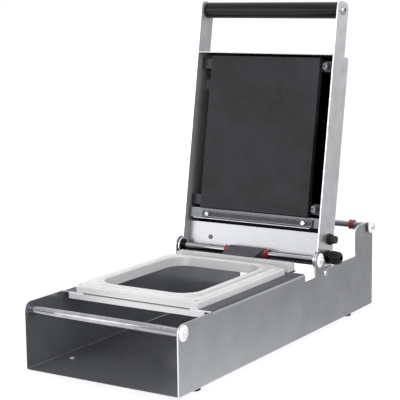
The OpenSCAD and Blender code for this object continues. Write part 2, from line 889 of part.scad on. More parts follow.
module rear_cover() color("#b4b6ba") in_lid() difference() {
    along_x(-plate_in, plate_in) {
        cover_low = panel_t - panel_drop;
        translate([box_back - panel_t, cover_low]) square([panel_t, box_top - box_corner_r - cover_low]);
        translate([box_back - box_corner_r, box_top - box_corner_r]) intersection() {
            difference() {
                circle(r = box_corner_r);
                circle(r = box_corner_r - panel_t);
            }
            square(box_corner_r);
        }
    }
    at_cover_screws() y_round(cover_screw_d / 2 + screw_clear, -panel_t - over, over);
}

module at_cover_screws() {
    for (s = [-1, 1], u = cover_tab_us) {
        translate([s * (plate_in - cover_screw_inset), box_back, u]) children();
    }
}

// Angle tabs on the side plates that the rear cover is screwed to
module cover_tabs() color("#b4b6ba") in_lid() difference() {
    both_sides() for (u = cover_tab_us) {
        translate([plate_in - cover_tab_w, box_back - panel_t - bracket_t, u - cover_tab_h / 2])
            cube([cover_tab_w, bracket_t, cover_tab_h]);
        translate([plate_in - bracket_t, box_back - panel_t - cover_tab_w, u - cover_tab_h / 2])
            cube([bracket_t, cover_tab_w, cover_tab_h]);
    }
    at_cover_screws() y_round(cover_screw_d / 2 + run_clear, -panel_t - bracket_t - over, 0);
}

module cover_screws() color("#dcdcdf") in_lid() at_cover_screws() rotate([-90, 0, 0])
    pan_screw(cover_head_d, cover_head_h, cover_screw_d, panel_t + bracket_t + cover_head_h);

// Bright panel behind the hinge rod, turned back under the box
module lower_panel() color("#dcdde1") in_lid() difference() {
    along_x(-plate_in, plate_in) {
        translate([panel_back, -panel_drop]) square([panel_t, panel_top + panel_drop]);
        translate([panel_back, -panel_drop]) square([box_back - panel_back, panel_t]);
        translate([panel_back, panel_top - panel_t]) square([panel_tail, panel_t]);
    }
    translate([-panel_screw_x, panel_back, panel_screw_u])
        y_round(panel_screw_d / 2 + run_clear, -over, panel_t + over);
}

module panel_screw() color("#8d8f93") in_lid()
    translate([-panel_screw_x, panel_back, panel_screw_u]) rotate([90, 0, 0])
    pan_screw(panel_head_d, panel_head_h, panel_screw_d, panel_t + 2 * panel_head_h);

module heating_plate() color("#38383a") in_lid() difference() {
    translate([-heater_w / 2, heater_back, heater_low]) cube([heater_w, heater_t, heater_top - heater_low]);
    at_studs() y_round(stud_d / 2 + run_clear, -heater_t / 2, over);
}

module at_studs() {
    for (s = [-1, 1], u = [bar_low_u, bar_high_u]) {
        translate([s * stud_x, bar_v, u]) children();
    }
}

// The bars are bolted on the right, and held by their brackets on the left
module at_bar_bolts() {
    for (u = [bar_low_u, bar_high_u]) {
        translate([bolt_x, bar_v, u]) children();
    }
}

// Two cross bars that carry the heating plate between the side plates
module heater_bars() color("#3f4043") in_lid() difference() {
    for (u = [bar_low_u, bar_high_u]) {
        translate([-plate_in, bar_v, u - bar_h / 2]) cube([2 * plate_in, bar_t, bar_h]);
    }
    at_studs() y_round(stud_d / 2 + screw_clear, -over, bar_t + over);
    at_bar_bolts() y_round(side_bolt_d / 2 + screw_clear, -over, bar_t + over);
}

module bar_brackets() color("#7f8185") in_lid() difference() {
    both_sides() for (u = [bar_low_u, bar_high_u]) {
        translate([plate_in - bracket_l, bar_v + bar_t, u - bar_h / 2])
            cube([bracket_l, bracket_t, bar_h]);
        translate([plate_in - bracket_t, bar_v + bar_t, u - bar_h / 2])
            cube([bracket_t, bracket_leg, bar_h]);
    }
    at_bar_bolts() y_round(side_bolt_d / 2 + screw_clear, bar_t - over, bar_t + bracket_t + over);
}

module bar_bolts() color("#d5d7da") in_lid() at_bar_bolts() difference() {
    union() {
        y_round(bolt_head_d / 2, -washer_t - bolt_head_h, -washer_t);
        y_round(side_bolt_d / 2, -washer_t, bar_t + bracket_t + nut_t + washer_t);
        translate([0, bar_t + bracket_t + nut_t, 0]) rotate([90, 0, 0])
            cylinder(d = bolt_head_d, h = nut_t, $fn = 6);
    }
    translate([0, -washer_t - bolt_head_h / 2, 0]) rotate([90, 0, 0])
        cylinder(d = bolt_head_d / 2, h = bolt_head_h, $fn = 6);
}

module bolt_washers() color("#c8cacd") in_lid() at_bar_bolts() difference() {
    y_round(washer_d / 2, -washer_t, 0);
    y_round(side_bolt_d / 2 + run_clear, -washer_t - over, over);
}

module heater_studs() color("#b9bbbe") in_lid() at_studs() {
    y_round(stud_d / 2, -heater_t / 2 + run_clear, bar_t + nut_t + washer_t);
    translate([0, bar_t + nut_t, 0]) rotate([90, 0, 0]) cylinder(d = bolt_head_d, h = nut_t, $fn = 6);
}

module heating_element() color("#c9b896") in_lid()
    translate([-pan_w / 2 + pan_t, bar_v, pan_low + pan_t])
    cube([pan_w - 2 * pan_t, element_t, pan_high - pan_low - 2 * pan_t]);

module insulation() color("#e9e6dc") in_lid()
    translate([-pan_w / 2 + pan_t, bar_v + element_t, pan_low + pan_t])
    cube([pan_w - 2 * pan_t, insulation_t, pan_high - pan_low - 2 * pan_t]);

// Pan over the insulation, held by a tab on each cross bar
module insulation_pan() color("#a9abaf") in_lid() {
    difference() {
        translate([-pan_w / 2, bar_v, pan_low]) cube([pan_w, pan_back - bar_v, pan_high - pan_low]);
        translate([-pan_w / 2 + pan_t, bar_v - over, pan_low + pan_t])
            cube([pan_w - 2 * pan_t, element_t + insulation_t + over, pan_high - pan_low - 2 * pan_t]);
    }
    for (u = [pan_low - tab_l, pan_high - pan_t]) {
        translate([-tab_w / 2, bar_v + bar_t, u]) cube([tab_w, pan_t, tab_l + pan_t]);
    }
}

module thermostat() color("#cfc7b4") in_lid() translate([0, pan_back, (pan_low + pan_high) / 2]) {
    y_round(thermostat_d / 2, 0, thermostat_h);
    for (s = [-1, 1]) {
        translate([s * lug_x - lug_w / 2, thermostat_h - lug_l / 2, 0]) cube([lug_w, lug_l, lug_t]);
    }
}

// Cross channel that carries the knife holder
module knife_bridge() color("#85878b") in_lid() difference() {
    front = holder_back + holder_d;
    along_x(-plate_in, plate_in) difference() {
        translate([front, bridge_low]) square([bridge_d, bridge_h]);
        translate([front + bridge_t, bridge_low + bridge_t]) square([bridge_d, bridge_h - 2 * bridge_t]);
    }
    at_holder_screws() y_round(holder_screw_d / 2 + run_clear, -over, bridge_t + over);
}

module at_holder_screws() {
    for (across = [holder_left_screw_in - holder_left, holder_right - holder_right_screw_in]) {
        translate([across, holder_back + holder_d, holder_top - holder_h / 2]) children();
    }
}

module knife_holder() color("#55575b") in_lid() difference() {
    holder_w = holder_left + holder_right;
    translate([-holder_left, holder_back, holder_top - holder_h]) cube([holder_w, holder_d, holder_h]);
    translate([-holder_left - over, holder_back - over, holder_top - holder_h / 2 - holder_head_d / 2])
        cube([holder_w + 2 * over, over + holder_head_h / 2, holder_head_d]);
    at_holder_screws() y_round(holder_screw_d / 2 + screw_clear, -holder_d - over, over);
}

module knife_blade() color("#d9dbde") in_lid()
    translate([-holder_right, -blade_reach, bridge_low - blade_t])
    cube([2 * holder_right, blade_reach + holder_back + holder_d + blade_clamp, blade_t]);

module holder_screws() color("#e8e8ea") in_lid() at_holder_screws()
    translate([0, holder_head_h / 2 - holder_d, 0]) rotate([90, 0, 0])
    pan_screw(holder_head_d, holder_head_h, holder_screw_d, holder_d + bridge_t);

module terminal_block() color("#ece9df") in_lid() {
    front = holder_back + holder_d + bridge_t;
    pitch = terminal_w / terminal_ways;
    difference() {
        translate([terminal_x - terminal_w / 2, front, bridge_low + bridge_t])
            cube([terminal_w, terminal_d, bridge_h - 2 * bridge_t]);
        for (i = [0 : terminal_ways - 1]) {
            translate([terminal_x + (i - (terminal_ways - 1) / 2) * pitch, front + terminal_d,
                bridge_low + bridge_h / 2])
                y_round(terminal_screw_d / 2, -terminal_screw_depth, over);
        }
    }
}

module handle_core() color("#c9cbce") in_lid() translate([0, handle_v, handle_u])
    tapped_rod(core_r, plate_in, handle_screw_d, handle_thread_l);

module handle_grip() color("#1d1d1f") in_lid() translate([0, handle_v, handle_u]) rotate([0, 90, 0])
    rotate_extrude() difference() {
        half_l = plate_in - loose_gap;
        bore_r = core_r + run_clear;
        translate([bore_r, -half_l]) square([grip_d / 2 - bore_r, 2 * half_l]);
        for (s = [-1, 1]) {
            translate([grip_d / 2, s * half_l]) rotate(45) square(grip_edge_r, center = true);
        }
    }

module handle_screws() color("#c3c5c9") in_lid() both_sides()
    translate([plate_out, handle_v, handle_u])
    button_screw(handle_head_d, handle_head_h, handle_screw_d, plate_t + handle_thread_l, hex_d, hex_depth);

module at_gland() {
    in_lid() translate([plate_out, gland_v, gland_u]) children();
}

module cable_gland() color("#232325") at_gland() difference() {
    union() {
        x_round(gland_thread_d / 2, -plate_t - gland_thread_l, 0);
        rotate([0, 90, 0]) cylinder(d = gland_d, h = gland_flange_l, $fn = 6);
        x_round(gland_d / 2 - gland_flat_in, 0, gland_flange_l);
        x_round(gland_thread_d / 2, gland_flange_l, gland_flange_l + gland_body_l);
    }
    x_round(cable_d / 2 + screw_clear, -plate_t - gland_thread_l - over, gland_l + over);
}

module gland_cap() color("#1f1f21") at_gland() difference() {
    union() {
        x_round(gland_d / 2, gland_flange_l + loose_gap, gland_l - gland_dome_r);
        x_round(gland_d / 2 - gland_dome_r, gland_flange_l + loose_gap, gland_l);
        translate([gland_l - gland_dome_r, 0, 0]) rotate([0, 90, 0]) rotate_extrude()
            translate([gland_d / 2 - gland_dome_r, 0]) intersection() {
                circle(r = gland_dome_r);
                square(gland_dome_r);
            }
    }
    x_round(gland_thread_d / 2 + run_clear, gland_flange_l, gland_flange_l + gland_body_l + loose_gap);
    x_round(cable_d / 2 + screw_clear, gland_flange_l, gland_l + over);
    for (i = [0 : gland_flutes - 1]) {
        rotate([i * 360 / gland_flutes, 0, 0]) translate([0, gland_d / 2 + gland_flute_r / 2, 0])
            x_round(gland_flute_r, gland_flange_l, gland_l - gland_dome_r);
    }
}

module gland_locknut() color("#2a2a2c") at_gland() difference() {
    translate([-plate_t - locknut_t, 0, 0]) rotate([0, 90, 0]) cylinder(d = locknut_d, h = locknut_t, $fn = 6);
    x_round(gland_thread_d / 2 + run_clear, -plate_t - locknut_t - over, -plate_t + over);
}

module at_button() {
    in_lid() translate([plate_out, button_v, button_u]) children();
}

module button_collar() color("#202022") at_button() difference() {
    union() {
        rotate([0, 90, 0]) rotate_extrude() polygon([
            [0, 0], [collar_d / 2, 0], [collar_d / 2, collar_l / 2], [collar_face_d / 2, collar_l], [0, collar_l]
        ]);
        x_round(barrel_d / 2, -barrel_l, 0);
    }
    x_round(button_d / 2 + run_clear, barrel_end_t - barrel_l, collar_l + over);
}

module collar_locknut() color("#2a2a2c") at_button() difference() {
    translate([-plate_t - locknut_t, 0, 0]) rotate([0, 90, 0]) cylinder(d = locknut_d, h = locknut_t, $fn = 6);
    x_round(barrel_d / 2 + run_clear, -plate_t - locknut_t - over, -plate_t + over);
}

module button_cap() color("#171719") at_button() {
    inner = barrel_end_t - barrel_l + button_travel + button_spring_room;
    x_round(button_d / 2, inner, collar_l + button_out - button_round_r);
    x_round(button_d / 2 - button_round_r, inner, collar_l + button_out);
    translate([collar_l + button_out - button_round_r, 0, 0]) rotate([0, 90, 0]) rotate_extrude()
        translate([button_d / 2 - button_round_r, 0]) intersection() {
            circle(r = button_round_r);
            square(button_round_r);
        }
}

base_shell();
front_rod();
hinge_rod();
rod_caps();
rod_screws();
stop_pins();
stop_screws();
rubber_feet();
foot_screws();
front_rail();
front_rail_screws();
cutting_rail();
cutting_rail_screws();
tray_mould();
mould_gasket();
locating_pins();
film_spindle();
spindle_caps();
spindle_screws();
spindle_ring_left();
spindle_ring_right();
hinge_ring_left();
hinge_ring_right();
film_flap();
left_side_plate();
right_side_plate();
hinge_bushes();
top_plate();
rear_cover();
cover_tabs();
cover_screws();
lower_panel();
panel_screw();
heating_plate();
heater_bars();
bar_brackets();
bar_bolts();
bolt_washers();
heater_studs();
heating_element();
insulation();
insulation_pan();
thermostat();
knife_bridge();
knife_holder();
knife_blade();
holder_screws();
terminal_block();
handle_core();
handle_grip();
handle_screws();
cable_gland();
gland_cap();
gland_locknut();
button_collar();
collar_locknut();
button_cap();
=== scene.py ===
# Tray sealer: finishes, small turned pieces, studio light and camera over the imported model
import math

import bmesh
import bpy
from mathutils import Euler, Matrix, Vector


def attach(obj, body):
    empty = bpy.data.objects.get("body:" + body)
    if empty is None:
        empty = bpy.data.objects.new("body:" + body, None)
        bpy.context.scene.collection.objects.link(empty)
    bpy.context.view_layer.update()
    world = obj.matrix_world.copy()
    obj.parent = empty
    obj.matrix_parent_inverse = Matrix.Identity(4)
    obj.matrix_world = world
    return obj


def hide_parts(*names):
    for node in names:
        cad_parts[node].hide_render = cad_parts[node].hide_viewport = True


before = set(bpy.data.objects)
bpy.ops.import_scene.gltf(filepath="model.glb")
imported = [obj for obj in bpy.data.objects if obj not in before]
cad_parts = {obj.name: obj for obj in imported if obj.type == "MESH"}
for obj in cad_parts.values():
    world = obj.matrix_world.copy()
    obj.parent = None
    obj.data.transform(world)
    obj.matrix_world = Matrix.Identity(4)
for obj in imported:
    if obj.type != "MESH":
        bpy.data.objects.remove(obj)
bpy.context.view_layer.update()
print("model loaded:", len(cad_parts), "nodes")

mm = 0.001  # metres in a millimetre

# Height of the feet, where the open lid's hinge lies, and how far the lid leans back
footHeight = 11  # millimetres
lidHinge = (0, 0.101, 0.118)  # metres
lidLean = math.radians(10)
lidPlace = Matrix.Translation(lidHinge) @ Matrix.Rotation(-lidLean, 4, "X")
faceFront = Matrix.Rotation(math.radians(90), 4, "X")
faceRear = Matrix.Rotation(math.radians(-90), 4, "X")
faceRight = Matrix.Rotation(math.radians(90), 4, "Y")


# Turns an sRGB hex colour to the linear values that the shaders take
def linearColour(hexCode):
    channels = [int(hexCode[at:at + 2], 16) / 255 for at in (1, 3, 5)]
    return [c / 12.92 if c <= 0.04045 else ((c + 0.055) / 1.055) ** 2.4 for c in channels] + [1]


# Adds one node and gives its outputs: an input given as a socket is linked, and any other is set
def addNode(tree, kind, inputs=None, **settings):
    node = tree.nodes.new(kind)
    for name, value in settings.items():
        setattr(node, name, value)
    for name, value in (inputs or {}).items():
        if isinstance(value, bpy.types.NodeSocket):
            tree.links.new(value, node.inputs[name])
        else:
            node.inputs[name].default_value = value
    return node.outputs


# Adds an object to the scene
def addObject(name, data):
    made = bpy.data.objects.new(name, data)
    bpy.context.collection.objects.link(made)
    return made


# Ends a shape in the making as a mesh
def keepShape(name, shape):
    mesh = bpy.data.meshes.new(name)
    shape.to_mesh(mesh)
    shape.free()
    return mesh


# Mesh of an object with its modifiers applied; the object is then removed
def bakeMesh(holder):
    baked = bpy.data.meshes.new_from_object(holder.evaluated_get(bpy.context.evaluated_depsgraph_get()))
    bpy.data.objects.remove(holder)
    return baked


# Finishes

# Cosine of the turn that an edge's rounding gives, from where its wear and painted highlight start to where
# they are full
edgeWearAndHighlightTurn = {"From Min": 0.995, "From Max": 0.85}
edgeSamples = 4
coatRough = 0.1
# Values between which a noise texture mostly lies: for mixed noises, and for one alone
mixedSpread = {"From Min": 0.36, "From Max": 0.64}
smudgeSpread = {"From Min": 0.35, "From Max": 0.7}
ringRound = 6  # how often the lathe rings change in a metre across the axis
# How little a cut edge's face turns across, and how much a flange end's face turns along
cutFacing = {"across": 0.1, "along": 0.9}


# Opens a material and gives its tree and the piece's own coordinates
def openFinish(name):
    material = bpy.data.materials.new(name)
    material.use_nodes = True
    tree = material.node_tree
    tree.nodes.clear()
    place = addNode(tree, "ShaderNodeTexCoord")["Object"]
    return material, tree, place


# 1 on the laser-cut edges of upright sheet, which get a painted highlight, 0 on its two sides; where the
# sheet is bent, these are the faces beyond the inner wall and the ends of the flanges
def cutEdges(tree, look, flat, place):
    facing = addNode(tree, "ShaderNodeVectorMath", {0: flat}, operation="ABSOLUTE")[0]
    across, along, _ = addNode(tree, "ShaderNodeSeparateXYZ", {0: facing})
    thin = addNode(tree, "ShaderNodeMath", {0: across, 1: cutFacing["across"]}, operation="LESS_THAN")[0]
    if "innerWall" not in look:
        return thin
    spot = addNode(tree, "ShaderNodeVectorMath", {0: place}, operation="ABSOLUTE")[0]
    side = addNode(tree, "ShaderNodeSeparateXYZ", {0: spot})[0]
    inWall = addNode(tree, "ShaderNodeMath", {0: side, 1: look["innerWall"] * mm},
                     operation="GREATER_THAN")[0]
    onWall = addNode(tree, "ShaderNodeMath", {0: thin, 1: inWall}, operation="MULTIPLY")[0]
    onEnd = addNode(tree, "ShaderNodeMath", {0: along, 1: cutFacing["along"]}, operation="GREATER_THAN")[0]
    return addNode(tree, "ShaderNodeMath", {0: onWall, 1: onEnd}, operation="MAXIMUM")[0]


# 1 on the part of a piece that gets painted shade: the faces that face near enough the given way and lie
# nearer to the model's middle along an axis than the given distance
def shadedPart(tree, shade, flat, place):
    toward = addNode(tree, "ShaderNodeVectorMath", {0: flat, 1: shade["way"]},
                     operation="DOT_PRODUCT")["Value"]
    facing = addNode(tree, "ShaderNodeMath", {0: toward, 1: shade["limit"]}, operation="GREATER_THAN")[0]
    spot = addNode(tree, "ShaderNodeVectorMath", {0: place}, operation="ABSOLUTE")[0]
    reach = addNode(tree, "ShaderNodeVectorMath", {0: spot, 1: shade["axis"]},
                    operation="DOT_PRODUCT")["Value"]
    within = addNode(tree, "ShaderNodeMath", {0: reach, 1: shade["within"] * mm}, operation="LESS_THAN")[0]
    return addNode(tree, "ShaderNodeMath", {0: facing, 1: within}, operation="MULTIPLY")[0]


# Closes a finish: two colours by a pattern, painted shade on shaded parts, edges paler with wear and a
# painted highlight, roughness and bump
def closeFinish(tree, look, pattern, height, place):
    rounded = addNode(tree, "ShaderNodeBevel", {"Radius": look["edge"] * mm}, samples=edgeSamples)[0]
    flat = addNode(tree, "ShaderNodeNewGeometry")["Normal"]
    match = addNode(tree, "ShaderNodeVectorMath", {0: rounded, 1: flat}, operation="DOT_PRODUCT")["Value"]
    edgeWearAndHighlight = addNode(tree, "ShaderNodeMapRange", {
        "Value": match, **edgeWearAndHighlightTurn, "To Min": 0, "To Max": look["edgeWearAndHighlightShare"],
    })[0]
    # Cut edges take the pale edge colour too, as a painted highlight
    if look.get("cutEdges"):
        cut = cutEdges(tree, look, flat, place)
        edgeWearAndHighlight = addNode(tree, "ShaderNodeMath", {0: edgeWearAndHighlight, 1: cut}, operation="MAXIMUM")[0]
    body = addNode(tree, "ShaderNodeMix", {
        0: pattern, 6: linearColour(look["dark"]), 7: linearColour(look["light"]),
    }, data_type="RGBA")[2]
    rough = addNode(tree, "ShaderNodeMapRange", {
        "Value": pattern, "To Min": look["rough"][0], "To Max": look["rough"][1],
    })[0]
    metallic, tint = look.get("metallic", 0), (1, 1, 1, 1)
    # Painted shade: a darker colour and a duller reflection on the shaded part
    if "shade" in look:
        shade = look["shade"]
        shaded = shadedPart(tree, shade, flat, place)
        body = addNode(tree, "ShaderNodeMix", {0: shaded, 6: body, 7: [shade["share"]] * 3 + [1]},
                       data_type="RGBA", blend_type="MULTIPLY")[2]
        tint = addNode(tree, "ShaderNodeMix", {0: shaded, 6: tint, 7: [shade["tint"]] * 3 + [1]},
                       data_type="RGBA")[2]
        rough = addNode(tree, "ShaderNodeMix", {0: shaded, 2: rough, 3: shade["rough"]})[0]
        metallic = addNode(tree, "ShaderNodeMapRange", {
            "Value": shaded, "To Min": metallic, "To Max": shade["metallic"],
        })[0]
    colour = addNode(tree, "ShaderNodeMix", {0: edgeWearAndHighlight, 6: body, 7: linearColour(look["edgeWearAndHighlight"])},
                     data_type="RGBA")[2]
    bumped = addNode(tree, "ShaderNodeBump", {
        "Strength": 1, "Distance": look["bump"] * mm, "Height": height, "Normal": rounded,
    })[0]
    shader = addNode(tree, "ShaderNodeBsdfPrincipled", {
        "Base Color": colour, "Roughness": rough, "Normal": bumped,
        "Metallic": metallic, "IOR": look.get("ior", 1.5), "Specular Tint": tint,
        "Specular IOR Level": look.get("specular", 0.5),
        "Coat Weight": look.get("coat", 0), "Coat Roughness": coatRough,
    })
    addNode(tree, "ShaderNodeOutputMaterial", {"Surface": shader[0]})


# Pattern between a finish's two colours: a fine noise over a broad one
def mixedPattern(tree, look, broad, fine):
    mixed = addNode(tree, "ShaderNodeMix", {0: look.get("fineShare", 0.5), 2: broad, 3: fine})[0]
    return addNode(tree, "ShaderNodeMapRange", {"Value": mixed, **mixedSpread})[0]


# Brushed or milled surface: streaks left by the belt along the grain, and faint clouds from wiping
def brushedSurface(name, look):
    material, tree, place = openFinish(name)
    level = addNode(tree, "ShaderNodeMapping", {"Vector": place, "Rotation": (look.get("lean", 0), 0, 0)})[0]
    alongScale = 1 / (look["streakLength"] * mm)
    acrossScale = 1 / (look["streak"] * mm)
    scale = [alongScale if axis == look["grain"] else acrossScale for axis in "XYZ"]
    stretched = addNode(tree, "ShaderNodeMapping", {"Vector": level, "Scale": scale})[0]
    streaks = addNode(tree, "ShaderNodeTexNoise", {
        "Vector": stretched, "Scale": 1, "Detail": 5, "Roughness": 0.62,
    })[0]
    clouds = addNode(tree, "ShaderNodeTexNoise", {
        "Vector": level, "Scale": 1 / (look["cloud"] * mm), "Detail": 3, "Roughness": 0.5,
    })[0]
    closeFinish(tree, look, mixedPattern(tree, look, clouds, streaks), streaks, place)
    return material


# Bright drawn or turned steel: faint lathe rings round the axis, with smudges that dull it a little
def turnedSteel(name, look):
    material, tree, place = openFinish(name)
    scale = [1 / (look["ring"] * mm) if axis == look["axis"] else ringRound for axis in "XYZ"]
    stretched = addNode(tree, "ShaderNodeMapping", {"Vector": place, "Scale": scale})[0]
    rings = addNode(tree, "ShaderNodeTexNoise", {"Vector": stretched, "Scale": 1, "Detail": 2})[0]
    smudges = addNode(tree, "ShaderNodeTexNoise", {
        "Vector": place, "Scale": 1 / (look["smudge"] * mm), "Detail": 3,
    })[0]
    pattern = addNode(tree, "ShaderNodeMapRange", {"Value": smudges, **smudgeSpread})[0]
    closeFinish(tree, look, pattern, rings, place)
    return material


# Blasted, cast, coated or moulded surface: an even fine grain over broad soft shading
def grainedSurface(name, look):
    material, tree, place = openFinish(name)
    grain = addNode(tree, "ShaderNodeTexNoise", {
        "Vector": place, "Scale": 1 / (look["grain"] * mm), "Detail": 4, "Roughness": 0.6,
    })[0]
    broad = addNode(tree, "ShaderNodeTexNoise", {
        "Vector": place, "Scale": 1 / (look["cloud"] * mm), "Detail": 2,
    })[0]
    closeFinish(tree, look, mixedPattern(tree, look, broad, grain), grain, place)
    return material


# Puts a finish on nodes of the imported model, and gives it back
def dress(material, *names):
    for name in names:
        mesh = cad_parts[name].data
        mesh.materials.clear()
        mesh.materials.append(material)
    return material


# The real grain is 0.2 mm wide, too fine to show, so all streaks are drawn 7 to 12 times as wide
# Painted shade darkens the inside of the base, and a painted highlight makes its cut edges white
baseSheet = {  # folded stainless steel, brushed along the channel: soft grey, white at its cut edges
    "dark": "#a1a3a8", "light": "#adafb4", "edgeWearAndHighlight": "#e4e5e7", "edgeWearAndHighlightShare": 0.9, "grain": "Y",
    "streak": 2.4, "streakLength": 90, "fineShare": 0.2, "cloud": 60, "rough": (0.24, 0.32),
    "bump": 0.0006, "edge": 0.4, "metallic": 1, "specular": 0, "cutEdges": True, "innerWall": 122.9,
    "shade": {"way": (0, 0, 1), "limit": -0.5, "axis": (1, 0, 0), "within": 123.05, "share": 0.66,
              "tint": 0.34, "metallic": 0.66, "rough": 0.2},
}
# Painted shade darkens the plates' inner faces, and a painted highlight makes their cut edges pale
lidSheet = {  # stainless steel side plates, brushed along their length: a bright satin
    "dark": "#d2d3d7", "light": "#e5e6e9", "edgeWearAndHighlight": "#f4f4f5", "edgeWearAndHighlightShare": 0.9, "grain": "Z",
    "streak": 2.2, "streakLength": 12, "cloud": 25, "rough": (0.26, 0.38), "bump": 0.006,
    "edge": 0.4, "metallic": 1, "specular": 0, "lean": lidLean, "cutEdges": True,
    "shade": {"way": (0, 0, 1), "limit": -2, "axis": (1, 0, 0), "within": 119.05, "share": 0.66,
              "tint": 0.5, "metallic": 0.45, "rough": 0.4},
}
lidCross = {  # stainless steel cross sheets, brushed from side to side
    "dark": "#b4b6ba", "light": "#cbcdd0", "edgeWearAndHighlight": "#ecedef", "edgeWearAndHighlightShare": 0.8, "grain": "X",
    "streak": 1.4, "streakLength": 80, "cloud": 90, "rough": (0.28, 0.40), "bump": 0.01,
    "edge": 0.4, "metallic": 1, "lean": lidLean,
}
# Painted shade blackens the inner side of the rear cover
coverSheet = {
    **lidCross, "rough": (0.42, 0.52),
    "shade": {"way": (0, -1, 0), "limit": 0.5, "axis": (1, 0, 0), "within": 150, "share": 0.03,
              "tint": 0.2, "metallic": 1, "rough": 0.4},
}
# The lower panel has a finer, cross-hatched polish that spreads the light evenly; its strip below
# the hinge rod is painted black, a painted reflection of the rod's dark underside
panelSheet = {
    "dark": "#bcbdc1", "light": "#cecfd3", "edgeWearAndHighlight": "#f4f4f5", "edgeWearAndHighlightShare": 0.9, "grain": "Z",
    "streak": 1.8, "streakLength": 9, "cloud": 30, "rough": (0.34, 0.44), "bump": 0.004,
    "edge": 0.4, "metallic": 1, "specular": 0, "lean": lidLean,
    "shade": {"way": (0, 0, 1), "limit": -2, "axis": (0, 0, 1), "within": 114, "share": 0.03,
              "tint": 0.1, "metallic": 1, "rough": 0.4},
}
# Lathe rings are 0.1 mm apart, too fine to show, so all rings are drawn 8 to 15 times as wide
rodSteel = {  # ground steel rod: mirror-like stripes along it
    "dark": "#98999d", "light": "#b0b1b5", "edgeWearAndHighlight": "#e8e8ea", "edgeWearAndHighlightShare": 0.4, "axis": "X",
    "ring": 1.5, "smudge": 22, "rough": (0.06, 0.12), "bump": 0.0003, "edge": 0.2, "metallic": 1,
}
# A painted dark reflection runs in a band along the front of the hinge rod
hingeRodSteel = {
    **rodSteel, "specular": 0,
    "shade": {"way": (0, -0.94, -0.34), "limit": 0.88, "axis": (1, 0, 0), "within": 150, "share": 0.15,
              "tint": 0.3, "metallic": 1, "rough": 0.1},
}
screwSteel = {  # turned stainless steel: small bright rings
    "dark": "#b2b4b8", "light": "#d6d8db", "edgeWearAndHighlight": "#eeeeef", "edgeWearAndHighlightShare": 0.6, "axis": "Z",
    "ring": 0.8, "smudge": 6, "rough": (0.16, 0.30), "bump": 0.006, "edge": 0.25, "metallic": 1,
}
# Polished heads at the rod ends, which read white beside their caps
endScrewSteel = {
    "dark": "#e4e5e8", "light": "#f6f6f7", "edgeWearAndHighlight": "#ffffff", "edgeWearAndHighlightShare": 0.5, "axis": "X",
    "ring": 0.8, "smudge": 6, "rough": (0.1, 0.2), "bump": 0.001, "edge": 0.25, "metallic": 1,
}
# Zinc-plated bolts dulled by the plate's heat
boltSteel = {
    "dark": "#5f6064", "light": "#85868a", "edgeWearAndHighlight": "#d0d1d3", "edgeWearAndHighlightShare": 0.7, "axis": "Y",
    "ring": 0.8, "smudge": 4, "rough": (0.2, 0.34), "bump": 0.002, "edge": 0.25, "metallic": 1,
}
# The bridge is dulled by the plate's heat, and its folds carry a painted highlight
bridgeSteel = {
    "dark": "#66676b", "light": "#828387", "edgeWearAndHighlight": "#f4f4f5", "edgeWearAndHighlightShare": 1, "grain": "X",
    "streak": 1.4, "streakLength": 40, "cloud": 30, "rough": (0.28, 0.4), "bump": 0.006,
    "edge": 1.6, "metallic": 1, "lean": lidLean,
}
# Grit marks and moulding grain are 0.1 mm wide, so all grains but the mica's and the wool's are
# drawn 9 to 16 times as wide
# Bead-blasted and clear-anodised aluminium: a silky near-white with no direction
blastedAluminium = {
    "dark": "#e6e6e7", "light": "#f0f0f1", "edgeWearAndHighlight": "#fafafa", "edgeWearAndHighlightShare": 0.3, "grain": 1.1,
    "cloud": 60, "rough": (0.30, 0.4), "bump": 0.001, "edge": 0.15, "metallic": 0.25,
}
# Baked fluoropolymer coating: near-black, with the faint marks of the milled face under it
coatedPlate = {
    "dark": "#0d0d0f", "light": "#343439", "edgeWearAndHighlight": "#5e5e62", "edgeWearAndHighlightShare": 0.5, "grain": "X",
    "streak": 1.8, "streakLength": 6, "cloud": 60, "rough": (0.42, 0.6), "bump": 0.02, "edge": 0.8,
    "ior": 1.38, "lean": lidLean,
}
barSteel = {  # blackened and oiled flat bar: dull, with brighter corners
    "dark": "#36373a", "light": "#4a4b4f", "edgeWearAndHighlight": "#8e9094", "edgeWearAndHighlightShare": 0.6, "grain": 1.6,
    "cloud": 30, "rough": (0.34, 0.48), "bump": 0.012, "edge": 0.4, "metallic": 0.7,
}
gripPlastic = {  # moulded nylon: deep black with a sharp highlight
    "dark": "#060608", "light": "#0f0f11", "edgeWearAndHighlight": "#2c2c2f", "edgeWearAndHighlightShare": 0.4, "grain": 0.9,
    "cloud": 25, "rough": (0.12, 0.22), "bump": 0.004, "edge": 0.3, "ior": 1.34,
}
capPlastic = {  # moulded polypropylene: white and glossy
    "dark": "#f4f4f4", "light": "#fdfdfd", "edgeWearAndHighlight": "#ffffff", "edgeWearAndHighlightShare": 0.4, "grain": 1.2,
    "cloud": 12, "rough": (0.14, 0.22), "bump": 0.002, "edge": 0.4, "ior": 1.48,
}
flapPlastic = {  # moulded polypropylene: grey and half matt
    "dark": "#46464a", "light": "#5b5b60", "edgeWearAndHighlight": "#88888c", "edgeWearAndHighlightShare": 0.6, "grain": 1.1,
    "cloud": 20, "rough": (0.28, 0.42), "bump": 0.01, "edge": 0.4, "ior": 1.49,
}
